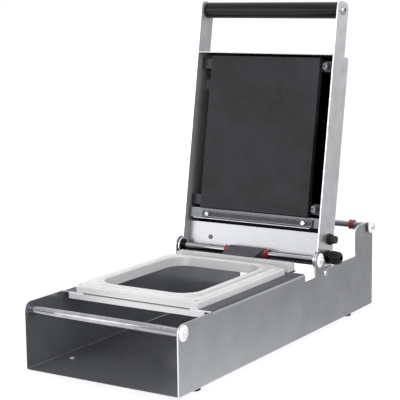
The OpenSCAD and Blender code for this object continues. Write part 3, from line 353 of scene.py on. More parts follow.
# Acetal holder, milled and left with a dull grey skin; its edges carry a painted highlight
holderPlastic = {
    "dark": "#2c2d31", "light": "#4c4d52", "edgeWearAndHighlight": "#dcdde0", "edgeWearAndHighlightShare": 1, "grain": 1.6,
    "cloud": 12, "fineShare": 0.4, "rough": (0.36, 0.5), "bump": 0.01, "edge": 1.1, "ior": 1.48,
}
palePlastic = {  # moulded acetal: cream and half matt
    "dark": "#dcd8cc", "light": "#ebe8de", "edgeWearAndHighlight": "#f6f4ee", "edgeWearAndHighlightShare": 0.4, "grain": 1.0,
    "cloud": 14, "rough": (0.4, 0.55), "bump": 0.006, "edge": 0.3, "ior": 1.48,
}
ringPlastic = {  # moulded polypropylene: dark red and glossy, rims paler with wear and painted highlight
    "dark": "#7c1420", "light": "#a8222f", "edgeWearAndHighlight": "#d8808a", "edgeWearAndHighlightShare": 0.8, "grain": 1.0,
    "cloud": 9, "rough": (0.16, 0.28), "bump": 0.004, "edge": 0.4, "ior": 1.49, "coat": 0.4,
}
footRubber = {  # moulded rubber: matt black with a grey bloom
    "dark": "#1f1f21", "light": "#313134", "edgeWearAndHighlight": "#4c4c50", "edgeWearAndHighlightShare": 0.5, "grain": 0.9,
    "cloud": 10, "rough": (0.62, 0.8), "bump": 0.02, "edge": 0.4, "ior": 1.52,
}
gasketSilicone = {  # cast silicone: soft white
    "dark": "#e6e6e7", "light": "#f2f2f2", "edgeWearAndHighlight": "#fafafa", "edgeWearAndHighlightShare": 0.3, "grain": 1.0,
    "cloud": 18, "rough": (0.45, 0.6), "bump": 0.008, "edge": 0.5, "ior": 1.41,
}
micaSheet = {  # pressed mica board: pale brown
    "dark": "#b6a582", "light": "#cfc09e", "edgeWearAndHighlight": "#ded2b6", "edgeWearAndHighlightShare": 0.4, "grain": 3.0,
    "cloud": 22, "rough": (0.34, 0.5), "bump": 0.02, "edge": 0.2, "ior": 1.58,
}
mineralWool = {  # felt of mineral wool: cream and rough
    "dark": "#cfc9b8", "light": "#ece8dc", "edgeWearAndHighlight": "#f4f1e8", "edgeWearAndHighlightShare": 0.3, "grain": 1.4,
    "cloud": 16, "fineShare": 0.8, "rough": (0.85, 0.95), "bump": 0.25, "edge": 1.0, "ior": 1.5,
}

dress(brushedSurface("brushedBaseSteel", baseSheet), "base_shell")
dress(brushedSurface("brushedLidSteel", lidSheet), "left_side_plate", "right_side_plate")
dress(brushedSurface("brushedCrossSteel", lidCross), "top_plate", "cover_tabs", "bar_brackets")
dress(brushedSurface("brushedCoverSteel", coverSheet), "rear_cover")
dress(brushedSurface("heatDulledPanSteel", {**lidCross, "dark": "#4a4b4e", "light": "#68696d"}),
      "insulation_pan")
dress(brushedSurface("polishedPanelSteel", panelSheet), "lower_panel")
dress(brushedSurface("darkBridgeSteel", bridgeSteel), "knife_bridge")
dress(grainedSurface("oiledBarSteel", barSteel), "heater_bars")
dress(grainedSurface("paleMouldedPlastic", palePlastic), "thermostat", "terminal_block")
dress(grainedSurface("whiteSilicone", gasketSilicone), "mould_gasket")
dress(grainedSurface("pressedMica", micaSheet), "heating_element")
dress(grainedSurface("mineralWool", mineralWool), "insulation")
rodFinish = dress(turnedSteel("polishedRodSteel", rodSteel), "stop_pins", "handle_core", "knife_blade")
screwFinish = dress(turnedSteel("turnedScrewSteel", screwSteel), "front_rail_screws", "cutting_rail_screws",
                    "locating_pins", "heater_studs")
mouldFinish = dress(grainedSurface("blastedAluminium", blastedAluminium), "front_rail")
gripFinish = dress(grainedSurface("blackMouldedNylon", gripPlastic), "cable_gland", "gland_locknut",
                   "collar_locknut", "hinge_bushes")
# The other nodes are replaced by pieces, which bring these finishes
plateFinish = brushedSurface("coatedHeatingPlate", coatedPlate)
hingeRodFinish = turnedSteel("rodSteelWithPaintedDarkBand", hingeRodSteel)
endFinish = turnedSteel("brightEndScrewSteel", endScrewSteel)
boltFinish = turnedSteel("dullBoltSteel", boltSteel)
capFinish = grainedSurface("glossyPaleCap", capPlastic)
flapFinish = grainedSurface("greyMouldedPlastic", flapPlastic)
holderFinish = grainedSurface("greyMilledAcetal", holderPlastic)
ringFinish = grainedSurface("redMouldedPlastic", ringPlastic)
footFinish = grainedSurface("blackRubber", footRubber)
print("finishes made:", len(bpy.data.materials))


# Meshes

# Links a mesh as a piece that rides on a body and replaces a node, which gets its finish too; edges
# over the crisp angle, in degrees, stay sharp
def addPiece(name, mesh, material, body, node, crisp=32):
    mesh.shade_smooth()
    mesh.set_sharp_from_angle(angle=math.radians(crisp))
    mesh.materials.clear()
    mesh.materials.append(material)
    dress(material, node)
    piece = addObject(name, mesh)
    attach(piece, body)
    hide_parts(node)


# Round piece about Z from rings of (height, radius, flat sides), in millimetres; a hollow one
# joins its last ring to its first, and a solid one is closed at both ends
def turnMesh(name, rings, hollow=False, around=48):
    shape = bmesh.new()
    loops = []
    for height, radius, sides in rings:
        loop = []
        for step in range(around):
            angle = 2 * math.pi * step / around
            reach = radius
            if sides:
                half = math.pi / sides
                reach = radius / math.cos(angle % (2 * half) - half)
            spot = Vector((reach * math.cos(angle), reach * math.sin(angle), height))
            loop.append(shape.verts.new(spot * mm))
        loops.append(loop)
    if hollow:
        pairs = list(zip(loops, loops[1:] + loops[:1]))
    else:
        pairs = list(zip(loops, loops[1:]))
        shape.faces.new(loops[0])
        shape.faces.new(loops[-1])
    for lower, upper in pairs:
        for step in range(around):
            after = (step + 1) % around
            shape.faces.new((lower[step], lower[after], upper[after], upper[step]))
    bmesh.ops.recalc_face_normals(shape, faces=shape.faces)
    return keepShape(name, shape)


# Rings of a round crown from a rim up to a smaller ring, in millimetres
def crownRings(rimRadius, rimHeight, crownHeight, innerRadius, steps=8):
    ball = (rimRadius ** 2 + crownHeight ** 2) / (2 * crownHeight)
    rings = []
    for step in range(steps + 1):
        radius = rimRadius + (innerRadius - rimRadius) * step / steps
        height = rimHeight + crownHeight - ball + math.sqrt(ball ** 2 - radius ** 2)
        rings.append((height, radius, 0))
    return rings


# Rings of a rounded corner from the side up to the end of a round piece, in millimetres
def cornerRings(height, radius, rounding, steps):
    turns = [math.pi / 2 / steps * step for step in range(steps + 1)]
    return [(height - rounding + rounding * math.sin(turn), radius - rounding + rounding * math.cos(turn), 0)
            for turn in turns]


hexSides = 6
# Small edges of the socket heads in millimetres, and widths at the socket's mouth as shares of it
socketEdges = {"seat": 0.15, "lip": 0.1, "mouth": 0.25, "crownEnd": 1.35, "lipEnd": 1.18}


# Screw head with a hexagon socket on a plain shank, its seat on height 0
def socketScrew(name, screw):
    head, height, socket = screw["head"] / 2, screw["height"], screw["socket"] / 2
    rim, thread, seat = height * screw["rimShare"], screw["thread"] / 2, socketEdges["seat"]
    rings = [(-screw["shank"], thread, 0), (0, thread, 0), (0, head - seat, 0), (seat, head, 0),
             (rim, head, 0)]
    rings += crownRings(head, rim, height - rim, socket * socketEdges["crownEnd"])[1:]
    top = rings[-1][0]
    rings += [(top - socketEdges["lip"], socket * socketEdges["lipEnd"], 0),
              (top - socketEdges["mouth"], socket, hexSides), (top - screw["depth"], socket, hexSides)]
    return turnMesh(name, rings)


# Pan heads: edge over the seat in millimetres, the crown as shares of height and radius, and the
# slot's length and width as shares of the radius
panHead = {"seat": 0.2, "crown": [(0.6, 1), (0.85, 0.93), (1, 0.78)], "slotLength": 3, "slotWidth": 1 / 3.2}


# Pan-head screw with a straight slot, cut with a bar
def slottedScrew(name, screw):
    head, height, thread, seat = screw["head"] / 2, screw["height"], screw["thread"] / 2, panHead["seat"]
    rings = [(-screw["shank"], thread, 0), (0, thread, 0), (0, head - seat, 0), (seat, head, 0)]
    rings += [(height * up, head * out, 0) for up, out in panHead["crown"]]
    barSize = Vector((head * panHead["slotLength"], head * panHead["slotWidth"], height)) * mm
    bar = bmesh.new()
    barPlace = Matrix.LocRotScale(Vector((0, 0, height * mm)), None, barSize)
    bmesh.ops.create_cube(bar, size=1, matrix=barPlace)
    cutter = addObject(name + "Slot", keepShape(name + "Slot", bar))
    blank = addObject(name + "Blank", turnMesh(name, rings))
    cut = blank.modifiers.new("slot", "BOOLEAN")
    cut.object = cutter
    cut.solver = "EXACT"
    result = bakeMesh(blank)
    bpy.data.objects.remove(cutter)
    return result


# Geometry trees

socketKinds = {
    float: "NodeSocketFloat", int: "NodeSocketInt", bool: "NodeSocketBool",
    bpy.types.Object: "NodeSocketObject", bpy.types.Material: "NodeSocketMaterial",
}


# Opens a geometry tree with a named input for each size
def openTree(name, inputs):
    tree = bpy.data.node_groups.new(name, "GeometryNodeTree")
    tree.interface.new_socket("Mesh", in_out="OUTPUT", socket_type="NodeSocketGeometry")
    for label, kind in inputs.items():
        tree.interface.new_socket(label, in_out="INPUT", socket_type=socketKinds[kind])
    return tree, addNode(tree, "NodeGroupInput")


# Ends a tree: real geometry, one finish
def closeTree(tree, geometry, finish):
    real = addNode(tree, "GeometryNodeRealizeInstances", {"Geometry": geometry})[0]
    done = addNode(tree, "GeometryNodeSetMaterial", {"Geometry": real, "Material": finish})[0]
    addNode(tree, "NodeGroupOutput", {0: done})


# Runs a tree with the given sizes and keeps what it makes as a plain mesh
def growMesh(name, tree, sizes):
    holder = addObject(name + "Holder", bpy.data.meshes.new(name + "Holder"))
    grower = holder.modifiers.new("grow", "NODES")
    grower.node_group = tree
    for item in tree.interface.items_tree:
        if item.in_out == "INPUT":
            grower[item.identifier] = sizes[item.name]
    result = bakeMesh(holder)
    result.name = name
    return result


cornerGap = 0.1  # millimetres within which two corners count as one


# Repeats a piece at the corners of a rectangle, each turned at random about its own axis; with
# Facing Out the pieces look left and right, and otherwise up
def makeCornerTree():
    tree, given = openTree("cornerPieces", {
        "Piece": bpy.types.Object, "Across": float, "Along": float, "Facing Out": bool,
        "Seed": int, "Finish": bpy.types.Material,
    })
    grid = addNode(tree, "GeometryNodeMeshGrid", {
        "Size X": given["Across"], "Size Y": given["Along"], "Vertices X": 2, "Vertices Y": 2,
    })[0]
    corners = addNode(tree, "GeometryNodeMergeByDistance", {"Geometry": grid, "Distance": cornerGap * mm})[0]
    spot = addNode(tree, "GeometryNodeInputPosition")[0]
    across = addNode(tree, "ShaderNodeSeparateXYZ", {0: spot})[0]
    side = addNode(tree, "ShaderNodeMath", {0: across}, operation="SIGN")[0]
    outward = addNode(tree, "ShaderNodeCombineXYZ", {"X": side})[0]
    facing = addNode(tree, "GeometryNodeSwitch", {
        "Switch": given["Facing Out"], "False": (0, 0, 1), "True": outward,
    }, input_type="VECTOR")[0]
    aim = addNode(tree, "FunctionNodeAlignRotationToVector", {"Vector": facing}, axis="Z")[0]
    piece = addNode(tree, "GeometryNodeObjectInfo", {"Object": given["Piece"]})["Geometry"]
    copies = addNode(tree, "GeometryNodeInstanceOnPoints", {
        "Points": corners, "Instance": piece, "Rotation": aim,
    })[0]
    chance = addNode(tree, "FunctionNodeRandomValue", {2: 0.0, 3: 2 * math.pi, "Seed": given["Seed"]},
                     data_type="FLOAT")[1]
    twist = addNode(tree, "ShaderNodeCombineXYZ", {"Z": chance})[0]
    turned = addNode(tree, "GeometryNodeRotateInstances", {"Instances": copies, "Rotation": twist})[0]
    closeTree(tree, turned, given["Finish"])
    return tree


cornerTree = makeCornerTree()


# Makes a group of equal pieces with the corner tree and puts it in its place: group gives the
# rectangle's sizes in millimetres and the seed of the turns
def repeatAtCorners(name, pattern, group, finish, place):
    master = addObject(name + "Master", pattern)
    mesh = growMesh(name, cornerTree, {
        "Piece": master, "Across": group["across"] * mm, "Along": group.get("along", 0) * mm,
        "Facing Out": group.get("facingOut", False), "Seed": group["seed"], "Finish": finish,
    })
    bpy.data.objects.remove(master)
    mesh.transform(place)
    return mesh


# Joins meshes that make one piece
def joinMeshes(name, *meshes):
    shape = bmesh.new()
    for mesh in meshes:
        shape.from_mesh(mesh)
    return keepShape(name, shape)


# Place of something on the lid: back from the hinge, up from it and across, in millimetres
def onLid(back, up, across=0, turn=None):
    place = lidPlace @ Matrix.Translation(Vector((across, back, up)) * mm)
    return place @ turn if turn else place


# Place of something on the base: back from its middle and up from its underside, in millimetres
def onBase(back, up):
    return Matrix.Translation(Vector((0, back, up + footHeight)) * mm)


# Domed caps at the ends of the rods and the spindle, each with a button-head screw sunk in it
endCaps = {"across": 21.4, "rim": 1, "crown": 3.4, "seat": 3, "well": 10.8, "edge": 0.3, "lip": 0.2}
endScrews = {"head": 10.4, "height": 4, "rimShare": 0.3, "socket": 4.2, "depth": 2.1}
rodEnd = {"bore": 6.4, "thread": 6, "shank": 19}
spindleEnd = {"bore": 5.4, "thread": 5, "shank": 15}
rodPlaces = [({"across": 250, "facingOut": True, "seed": 3}, onBase(-273.5, 83.3)),
             ({"across": 250, "facingOut": True, "seed": 5}, onBase(101, 107))]
spindlePlaces = [({"across": 256, "facingOut": True, "seed": 8}, onBase(273, 131))]


def capMesh(name, end):
    outer, well, bore, edge = endCaps["across"] / 2, endCaps["well"] / 2, end["bore"] / 2, endCaps["edge"]
    rings = [(0, bore, 0), (0, outer - edge, 0), (edge, outer, 0), (endCaps["rim"], outer, 0)]
    rings += crownRings(outer, endCaps["rim"], endCaps["crown"], well + edge)[1:]
    rings += [(rings[-1][0] - endCaps["lip"], well, 0), (endCaps["seat"], well, 0),
              (endCaps["seat"], bore, 0)]
    return turnMesh(name, rings, hollow=True)


def endScrewMesh(name, end):
    mesh = socketScrew(name, {**endScrews, **end})
    mesh.transform(Matrix.Translation((0, 0, endCaps["seat"] * mm)))
    return mesh


for name, makeEnd, end, places, finish, body, slot, node in [
        ("rodCaps", capMesh, rodEnd, rodPlaces, capFinish, "base", "pale_caps", "rod_caps"),
        ("rodScrews", endScrewMesh, rodEnd, rodPlaces, endFinish, "base", "steel_screws", "rod_screws"),
        ("spindleCaps", capMesh, spindleEnd, spindlePlaces, capFinish, "spindle", "pale_caps",
         "spindle_caps"),
        ("spindleScrews", endScrewMesh, spindleEnd, spindlePlaces, endFinish, "spindle", "steel_screws",
         "spindle_screws")]:
    ends = [repeatAtCorners(name, makeEnd(name, end), group, finish, place) for group, place in places]
    addPiece(name, joinMeshes(name, *ends), finish, body, node)

# Button-head screws that hold the stop pins and the handle; at is a group's place on its body: back,
# up, across and the way it faces
stopScrew = {
    "head": 9.5, "height": 2.8, "rimShare": 0.25, "socket": 3.6, "depth": 1.4, "thread": 4, "shank": 8,
    "across": 250, "facingOut": True, "seed": 4, "at": (118.758, 84.474),
}
handleScrew = {
    "head": 14, "height": 4.4, "rimShare": 0.25, "socket": 6, "depth": 2.4, "thread": 8, "shank": 18,
    "across": 242, "facingOut": True, "seed": 9, "at": (16.5, 376.8),
}
# Slotted pan heads, left at the angles where the driver stopped
footSpread = {"across": 204, "along": 450, "seed": 2}
footScrew = {"head": 9, "height": 2.4, "thread": 4, "shank": 9, **footSpread, "at": (12, 2)}
holderScrew = {
    "head": 7.6, "height": 2.6, "thread": 4, "shank": 7, "across": 171, "seed": 6,
    "at": (4.5, 52.65, 3.5, faceFront),
}
panelScrew = {
    "head": 7, "height": 1.8, "thread": 3.5, "shank": 5.1, "across": 0, "seed": 7,
    "at": (12.6, 17, -77, faceFront),
}
coverScrew = {
    "head": 8, "height": 2.4, "thread": 4, "shank": 5.9, "across": 224, "along": 204.7, "seed": 12,
    "at": (48.5, 156.95, 0, faceRear),
}
for name, makeScrew, screw, finish, onBody, body, node in [
        ("stopScrews", socketScrew, stopScrew, endFinish, onBase, "base", "stop_screws"),
        ("handleScrews", socketScrew, handleScrew, screwFinish, onLid, "lid", "handle_screws"),
        ("footScrews", slottedScrew, footScrew, endFinish, onBase, "base", "foot_screws"),
        ("holderScrews", slottedScrew, holderScrew, screwFinish, onLid, "lid", "holder_screws"),
        ("panelScrew", slottedScrew, panelScrew, boltFinish, onLid, "lid", "panel_screw"),
        ("coverScrews", slottedScrew, coverScrew, screwFinish, onLid, "lid", "cover_screws")]:
    screws = repeatAtCorners(name, makeScrew(name, screw), screw, finish, onBody(*screw["at"]))
    addPiece(name, screws, finish, body, node)

# Socket cap bolts that hang the heating plate's bars on the side plates; an edge is its height and
# how far in it reaches
barBolt = {
    "head": 10, "height": 4, "rimShare": 0.92, "socket": 4.6, "depth": 2.2, "thread": 6, "shank": 12.2,
}
boltNut = {"low": -11, "high": -6, "radius": 4.33, "edge": (0.3, 0.13), "around": 24}
boltWasher = {"across": 12, "bore": 6.1, "thick": 1.2, "lowEdge": (0.15, 0.1), "topEdge": (0.2, 0.25)}
boltGroup = {"across": 0, "along": 216.6, "seed": 11}
boltPlace = onLid(13.5, 183, 102, faceFront)


def boltMesh(name):
    low, high, radius = boltNut["low"], boltNut["high"], boltNut["radius"]
    rise, inward = boltNut["edge"]
    profile = [(low, radius - inward), (low + rise, radius), (high - rise, radius), (high, radius - inward)]
    rings = [(height, reach, hexSides) for height, reach in profile]
    nut = turnMesh(name + "Nut", rings, around=boltNut["around"])
    head = socketScrew(name + "Head", barBolt)
    head.transform(Matrix.Translation((0, 0, boltWasher["thick"] * mm)))
    return joinMeshes(name, nut, head)


def washerMesh(name):
    outer, bore, thick = boltWasher["across"] / 2, boltWasher["bore"] / 2, boltWasher["thick"]
    (lowRise, lowIn), (topDrop, topIn) = boltWasher["lowEdge"], boltWasher["topEdge"]
    return turnMesh(name, [(0, bore, 0), (0, outer - lowIn, 0), (lowRise, outer, 0),
                           (thick - topDrop, outer, 0), (thick, outer - topIn, 0), (thick, bore, 0)],
                    hollow=True)


for name, pattern, node in [("barBolts", boltMesh("barBolt"), "bar_bolts"),
                            ("boltWashers", washerMesh("boltWasher"), "bolt_washers")]:
    group = repeatAtCorners(name, pattern, boltGroup, boltFinish, boltPlace)
    addPiece(name, group, boltFinish, "lid", node)

# Rubber feet with a bead round the top; the profile pairs are a height from the floor or a depth
# below the top, and how far in the side lies there
rubberFoot = {
    "across": 17, "bore": 4.1, "boreDepth": 7, "low": [(0, 1.2), (0.4, 0.7), (1.4, 0.2), (2.8, 0.6)],
    "high": [(2.8, 0.6), (1.8, 0.2), (1, 0), (0, 0.1)],
}


def footMesh(name):
    outer, bore = rubberFoot["across"] / 2, rubberFoot["bore"] / 2
    rings = [(rise, outer - inward, 0) for rise, inward in rubberFoot["low"]]
    rings += [(footHeight - drop, outer - inward, 0) for drop, inward in rubberFoot["high"]]
    return turnMesh(name, rings + [(footHeight, bore, 0), (footHeight - rubberFoot["boreDepth"], bore, 0)])


rubberFeet = repeatAtCorners("rubberFeet", footMesh("rubberFoot"), footSpread, footFinish,
                             onBase(12, -footHeight))
addPiece("rubberFeet", rubberFeet, footFinish, "base", "rubber_feet")
print("fasteners, caps and feet made")

# Film rings: a rounded band with a waist, swept round the rod
filmRing = {"across": 17, "width": 8, "edge": 1.1, "waist": 1.2, "waistWidth": 2.4, "play": 0.06}
ringFacets = 64


def makeRingTree():
    tree, given = openTree("slidingRing", {
        "Middle Radius": float, "Wall": float, "Width": float, "Edge": float, "Waist": float,
        "Waist Width": float, "Finish": bpy.types.Material,
    })
    section = addNode(tree, "GeometryNodeCurvePrimitiveQuadrilateral", {
        "Width": given["Wall"], "Height": given["Width"],
    })[0]
    softened = addNode(tree, "GeometryNodeFilletCurve", {
        "Curve": section, "Radius": given["Edge"], "Count": 5,
    }, mode="POLY")[0]
    fine = addNode(tree, "GeometryNodeResampleCurve", {"Curve": softened, "Count": ringFacets})[0]
    spot = addNode(tree, "GeometryNodeInputPosition")[0]
    parts = addNode(tree, "ShaderNodeSeparateXYZ", {0: spot})
    share = addNode(tree, "ShaderNodeMath", {0: parts["Y"], 1: given["Waist Width"]}, operation="DIVIDE")[0]
    square = addNode(tree, "ShaderNodeMath", {0: share, 1: share}, operation="MULTIPLY")[0]
    bell = addNode(tree, "ShaderNodeMath", {0: 1 / math.e, 1: square}, operation="POWER")[0]
    dip = addNode(tree, "ShaderNodeMath", {0: bell, 1: given["Waist"]}, operation="MULTIPLY")[0]
    outside = addNode(tree, "ShaderNodeMath", {0: parts["X"], 1: 0}, operation="GREATER_THAN")[0]
    inward = addNode(tree, "ShaderNodeMath", {0: dip, 1: outside}, operation="MULTIPLY")[0]
    offset = addNode(tree, "ShaderNodeCombineXYZ", {"X": inward})[0]
    waisted = addNode(tree, "GeometryNodeSetPosition", {"Geometry": fine, "Offset": offset})[0]
    path = addNode(tree, "GeometryNodeCurvePrimitiveCircle", {
        "Resolution": ringFacets, "Radius": given["Middle Radius"],
    }, mode="RADIUS")[0]
    band = addNode(tree, "GeometryNodeCurveToMesh", {"Curve": path, "Profile Curve": waisted})[0]
    closeTree(tree, band, given["Finish"])
    return tree


ringTree = makeRingTree()
for node, across, back, up, bore in [
        ("spindle_ring_left", -95, 273, 131, 10), ("spindle_ring_right", 95, 273, 131, 10),
        ("hinge_ring_left", -35, 101, 107, 12), ("hinge_ring_right", 35, 101, 107, 12)]:
    name, outer, inner = "filmRing_" + node, filmRing["across"] / 2, bore / 2 + filmRing["play"]
    ring = growMesh(name, ringTree, {
        "Middle Radius": (outer + inner) / 2 * mm, "Wall": (outer - inner) * mm,
        "Width": filmRing["width"] * mm, "Edge": filmRing["edge"] * mm, "Waist": -filmRing["waist"] * mm,
        "Waist Width": filmRing["waistWidth"] * mm, "Finish": ringFinish,
    })
    ring.transform(onBase(back, up) @ Matrix.Translation((across * mm, 0, 0)) @ faceRight)
    addPiece(name, ring, ringFinish, node, node)

# Gland cap: grip ribs set round a turned dome
glandCap = {
    "across": 19.6, "front": 4.3, "length": 24, "dome": 5, "bore": 7.4, "nutBore": 16.1, "nutDepth": 13.5,
    "frontEdge": 0.4, "boreEdge": 0.3, "ribs": 12, "ribWidth": 2.6, "ribLength": 13.5, "ribOut": 0.7,
    "ribBack": 1,
}


def makeRibTree():
    tree, given = openTree("gripRibs", {
        "Body": bpy.types.Object, "Ribs": int, "Radius": float, "Rib Width": float, "Rib Length": float,
        "Middle": float, "Finish": bpy.types.Material,
    })
    body = addNode(tree, "GeometryNodeObjectInfo", {"Object": given["Body"]})["Geometry"]
    halfWidth = addNode(tree, "ShaderNodeMath", {0: given["Rib Width"], 1: 0.5}, operation="MULTIPLY")[0]
    rib = addNode(tree, "GeometryNodeMeshUVSphere", {"Segments": 12, "Rings": 12, "Radius": halfWidth})[0]
    stretch = addNode(tree, "ShaderNodeMath", {0: given["Rib Length"], 1: given["Rib Width"]},
                      operation="DIVIDE")[0]
    size = addNode(tree, "ShaderNodeCombineXYZ", {"X": 1, "Y": 1, "Z": stretch})[0]
    longRib = addNode(tree, "GeometryNodeTransform", {0: rib, "Scale": size})[0]
    spots = addNode(tree, "GeometryNodeMeshCircle", {"Vertices": given["Ribs"], "Radius": given["Radius"]})[0]
    ribs = addNode(tree, "GeometryNodeInstanceOnPoints", {"Points": spots, "Instance": longRib})[0]
    lift = addNode(tree, "ShaderNodeCombineXYZ", {"Z": given["Middle"]})[0]
    raised = addNode(tree, "GeometryNodeTransform", {0: ribs, "Translation": lift})[0]
    whole = tree.nodes.new("GeometryNodeJoinGeometry")
    for part in (body, raised):
        tree.links.new(part, whole.inputs[0])
    closeTree(tree, whole.outputs[0], given["Finish"])
    return tree


# Gland cap before its ribs: a domed shell that steps in for the thread
def glandShell(cap):
    outer, bore, nutBore = cap["across"] / 2, cap["bore"] / 2, cap["nutBore"] / 2
    front, length, depth = cap["front"], cap["length"], cap["nutDepth"]
    frontEdge, boreEdge = cap["frontEdge"], cap["boreEdge"]
    rings = [(front, nutBore, 0), (front, outer - frontEdge, 0), (front + frontEdge, outer, 0)]
    rings += cornerRings(length, outer, cap["dome"], 8)
    rings += [(length, bore + boreEdge, 0), (length - boreEdge, bore, 0), (depth, bore, 0),
              (depth, nutBore, 0)]
    return turnMesh("glandBody", rings, hollow=True)


glandBody = addObject("glandBody", glandShell(glandCap))
glandMesh = growMesh("glandCap", makeRibTree(), {
    "Body": glandBody, "Ribs": glandCap["ribs"], "Finish": gripFinish,
    "Radius": ((glandCap["across"] - glandCap["ribWidth"]) / 2 + glandCap["ribOut"]) * mm,
    "Rib Width": glandCap["ribWidth"] * mm, "Rib Length": glandCap["ribLength"] * mm,
    "Middle": (glandCap["front"] + glandCap["ribBack"] + glandCap["ribLength"] / 2) * mm,
})
bpy.data.objects.remove(glandBody)
glandMesh.transform(onLid(31, 4.5, 121, faceRight))
addPiece("glandCap", glandMesh, gripFinish, "lid", "gland_cap")

# Button: a chamfered collar with its barrel, and a dished cap
buttonCollar = {
    "across": 17.5, "face": 15, "height": 5.5, "barrel": 15, "barrelLength": 18, "end": 2, "bore": 12.32,
    "edge": 0.4, "faceOut": 0.2, "faceIn": 0.3,
}
buttonCap = {
    "across": 12.2, "top": 12.5, "round": 1.2, "dish": 0.5, "dishShares": (0.35, 0.7, 0.9), "inner": -10.5,
}
buttonPlace = onLid(33.5, 31.5, 121, faceRight)


def collarShell(collar):
    outer, face, barrel, bore = [collar[part] / 2 for part in ("across", "face", "barrel", "bore")]
    top, length, edge = collar["height"], collar["barrelLength"], collar["edge"]
    return turnMesh("buttonCollar", [
        (-length, barrel, 0), (0, barrel, 0), (0, outer, 0), (top / 2, outer, 0),
        (top - edge, face + collar["faceOut"], 0), (top, face - collar["faceIn"], 0),
        (top, bore + edge, 0), (top - edge, bore, 0), (collar["end"] - length, bore, 0),
    ])


def dishedCap(cap):
    outer, top, rounded = cap["across"] / 2, cap["top"], cap["round"]
    rings = [(cap["inner"], outer, 0)] + cornerRings(top, outer, rounded, 6)
    for share in cap["dishShares"]:
        rings.append((top - cap["dish"] * share, (outer - rounded) * (1 - share), 0))
    return turnMesh("buttonCap", rings)


for name, mesh, finish, body, slot, node in [
        ("buttonCollar", collarShell(buttonCollar), gripFinish, "lid", "black_plastic", "button_collar"),
        ("buttonCap", dishedCap(buttonCap), footFinish, "button", "black_rubber", "button_cap")]:
    mesh.transform(buttonPlace)
    addPiece(name, mesh, finish, body, node)

# Handle grip: a moulded sleeve with rounded ends
handleGrip = {"across": 25, "length": 237.4, "bore": 12.12, "round": 2.2, "around": 64}
gripHalf, gripBore = handleGrip["length"] / 2, handleGrip["bore"] / 2
gripCorner = cornerRings(gripHalf, handleGrip["across"] / 2, handleGrip["round"], 8)
gripRings = [(-gripHalf, gripBore, 0)] + [(-height, radius, 0) for height, radius, _ in gripCorner[::-1]]
gripRings += gripCorner + [(gripHalf, gripBore, 0)]
gripMesh = turnMesh("handleGrip", gripRings, hollow=True, around=handleGrip["around"])
gripMesh.transform(onLid(16.5, 376.8, turn=faceRight))
addPiece("handleGrip", gripMesh, gripFinish, "lid", "handle_grip")
print("rings, gland, button and grip made")


# Distance in millimetres within which points merge, the angles in degrees below which a face is
# flat and above which an edge is rounded, and the steps of the rounding
softening = {"merge": 0.002, "flat": 0.5, "edge": 40, "segments": 2}


# Copy of a CAD node with its doubles merged and its edges rounded; round stock is shaded smooth
def softenedCopy(name, node, radius, crisp, finish, body):
    shape = bmesh.new()
    shape.from_mesh(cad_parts[node].data)
    bmesh.ops.remove_doubles(shape, verts=shape.verts, dist=softening["merge"] * mm)
    bmesh.ops.dissolve_limit(shape, angle_limit=math.radians(softening["flat"]), verts=shape.verts,
                             edges=shape.edges)
    holder = addObject(name + "Plain", keepShape(name + "Plain", shape))
    bevel = holder.modifiers.new("edges", "BEVEL")
    bevel.limit_method = "ANGLE"
    bevel.angle_limit = math.radians(softening["edge"])
    bevel.width = radius * mm
    bevel.segments = softening["segments"]
    addPiece(name, bakeMesh(holder), finish, body, node, crisp=crisp)


# Edges that the light catches: radius in millimetres, and the angle in degrees that stays sharp
for name, node, radius, crisp, finish, body, slot in [
        ("heatingPlate", "heating_plate", 1.0, 14, plateFinish, "lid", "dark_coated_aluminium"),
        ("trayMould", "tray_mould", 0.5, 14, mouldFinish, "base", "pale_aluminium"),
        ("cuttingRail", "cutting_rail", 0.4, 14, mouldFinish, "base", "pale_aluminium"),
        ("filmFlap", "film_flap", 0.5, 14, flapFinish, "flap", "grey_plastic"),
        ("knifeHolder", "knife_holder", 0.4, 14, holderFinish, "lid", "grey_plastic"),
        ("frontRod", "front_rod", 0.3, 32, rodFinish, "base", "polished_steel"),
        ("hingeRod", "hinge_rod", 0.3, 32, hingeRodFinish, "base", "polished_steel"),
        ("filmSpindle", "film_spindle", 0.3, 32, rodFinish, "spindle", "polished_steel")]:
    softenedCopy(name, node, radius, crisp, finish, body)
print("softened pieces made")

# Studio: a pale floor, a white surround and three large soft lamps
studio = {
    "floorSize": 60, "floor": "#f2f2f2", "floorGlow": 1.25, "glowShare": 0.7,
    "pool": (-0.45, -0.75, 0), "poolFrom": 0.4, "poolTo": 1.4, "poolGlow": 1.6, "farGlow": 0.47,
    "surround": 1.0, "ambient": 0.86, "lowBand": 0.5, "bandFrom": 0.05, "bandTo": 0.5,
    "frontFrom": 0.1, "frontTo": -0.5,
    "lamps": [
        {"name": "keyLamp", "place": (-1.3, -1.9, 0.7), "aim": (0, 0, 0.2), "size": 1.3, "power": 7.5},
        {"name": "topLamp", "place": (0.1, 0.2, 2.4), "aim": (0, 0, 0.1), "size": 2.0, "power": 5},
        {"name": "fillLamp", "place": (1.7, -0.5, 0.9), "aim": (0, 0, 0.15), "size": 1.2, "power": 7},
    ],
}


# 1 for the rays that should see a white surround, and 0 for those that light the object
def seenShare(tree):
    rays = addNode(tree, "ShaderNodeLightPath")
    first = addNode(tree, "ShaderNodeMath", {0: rays["Is Camera Ray"], 1: rays["Is Glossy Ray"]},
                    operation="MAXIMUM")[0]
    return addNode(tree, "ShaderNodeMath", {0: first, 1: rays["Is Transmission Ray"]}, operation="MAXIMUM")[0]


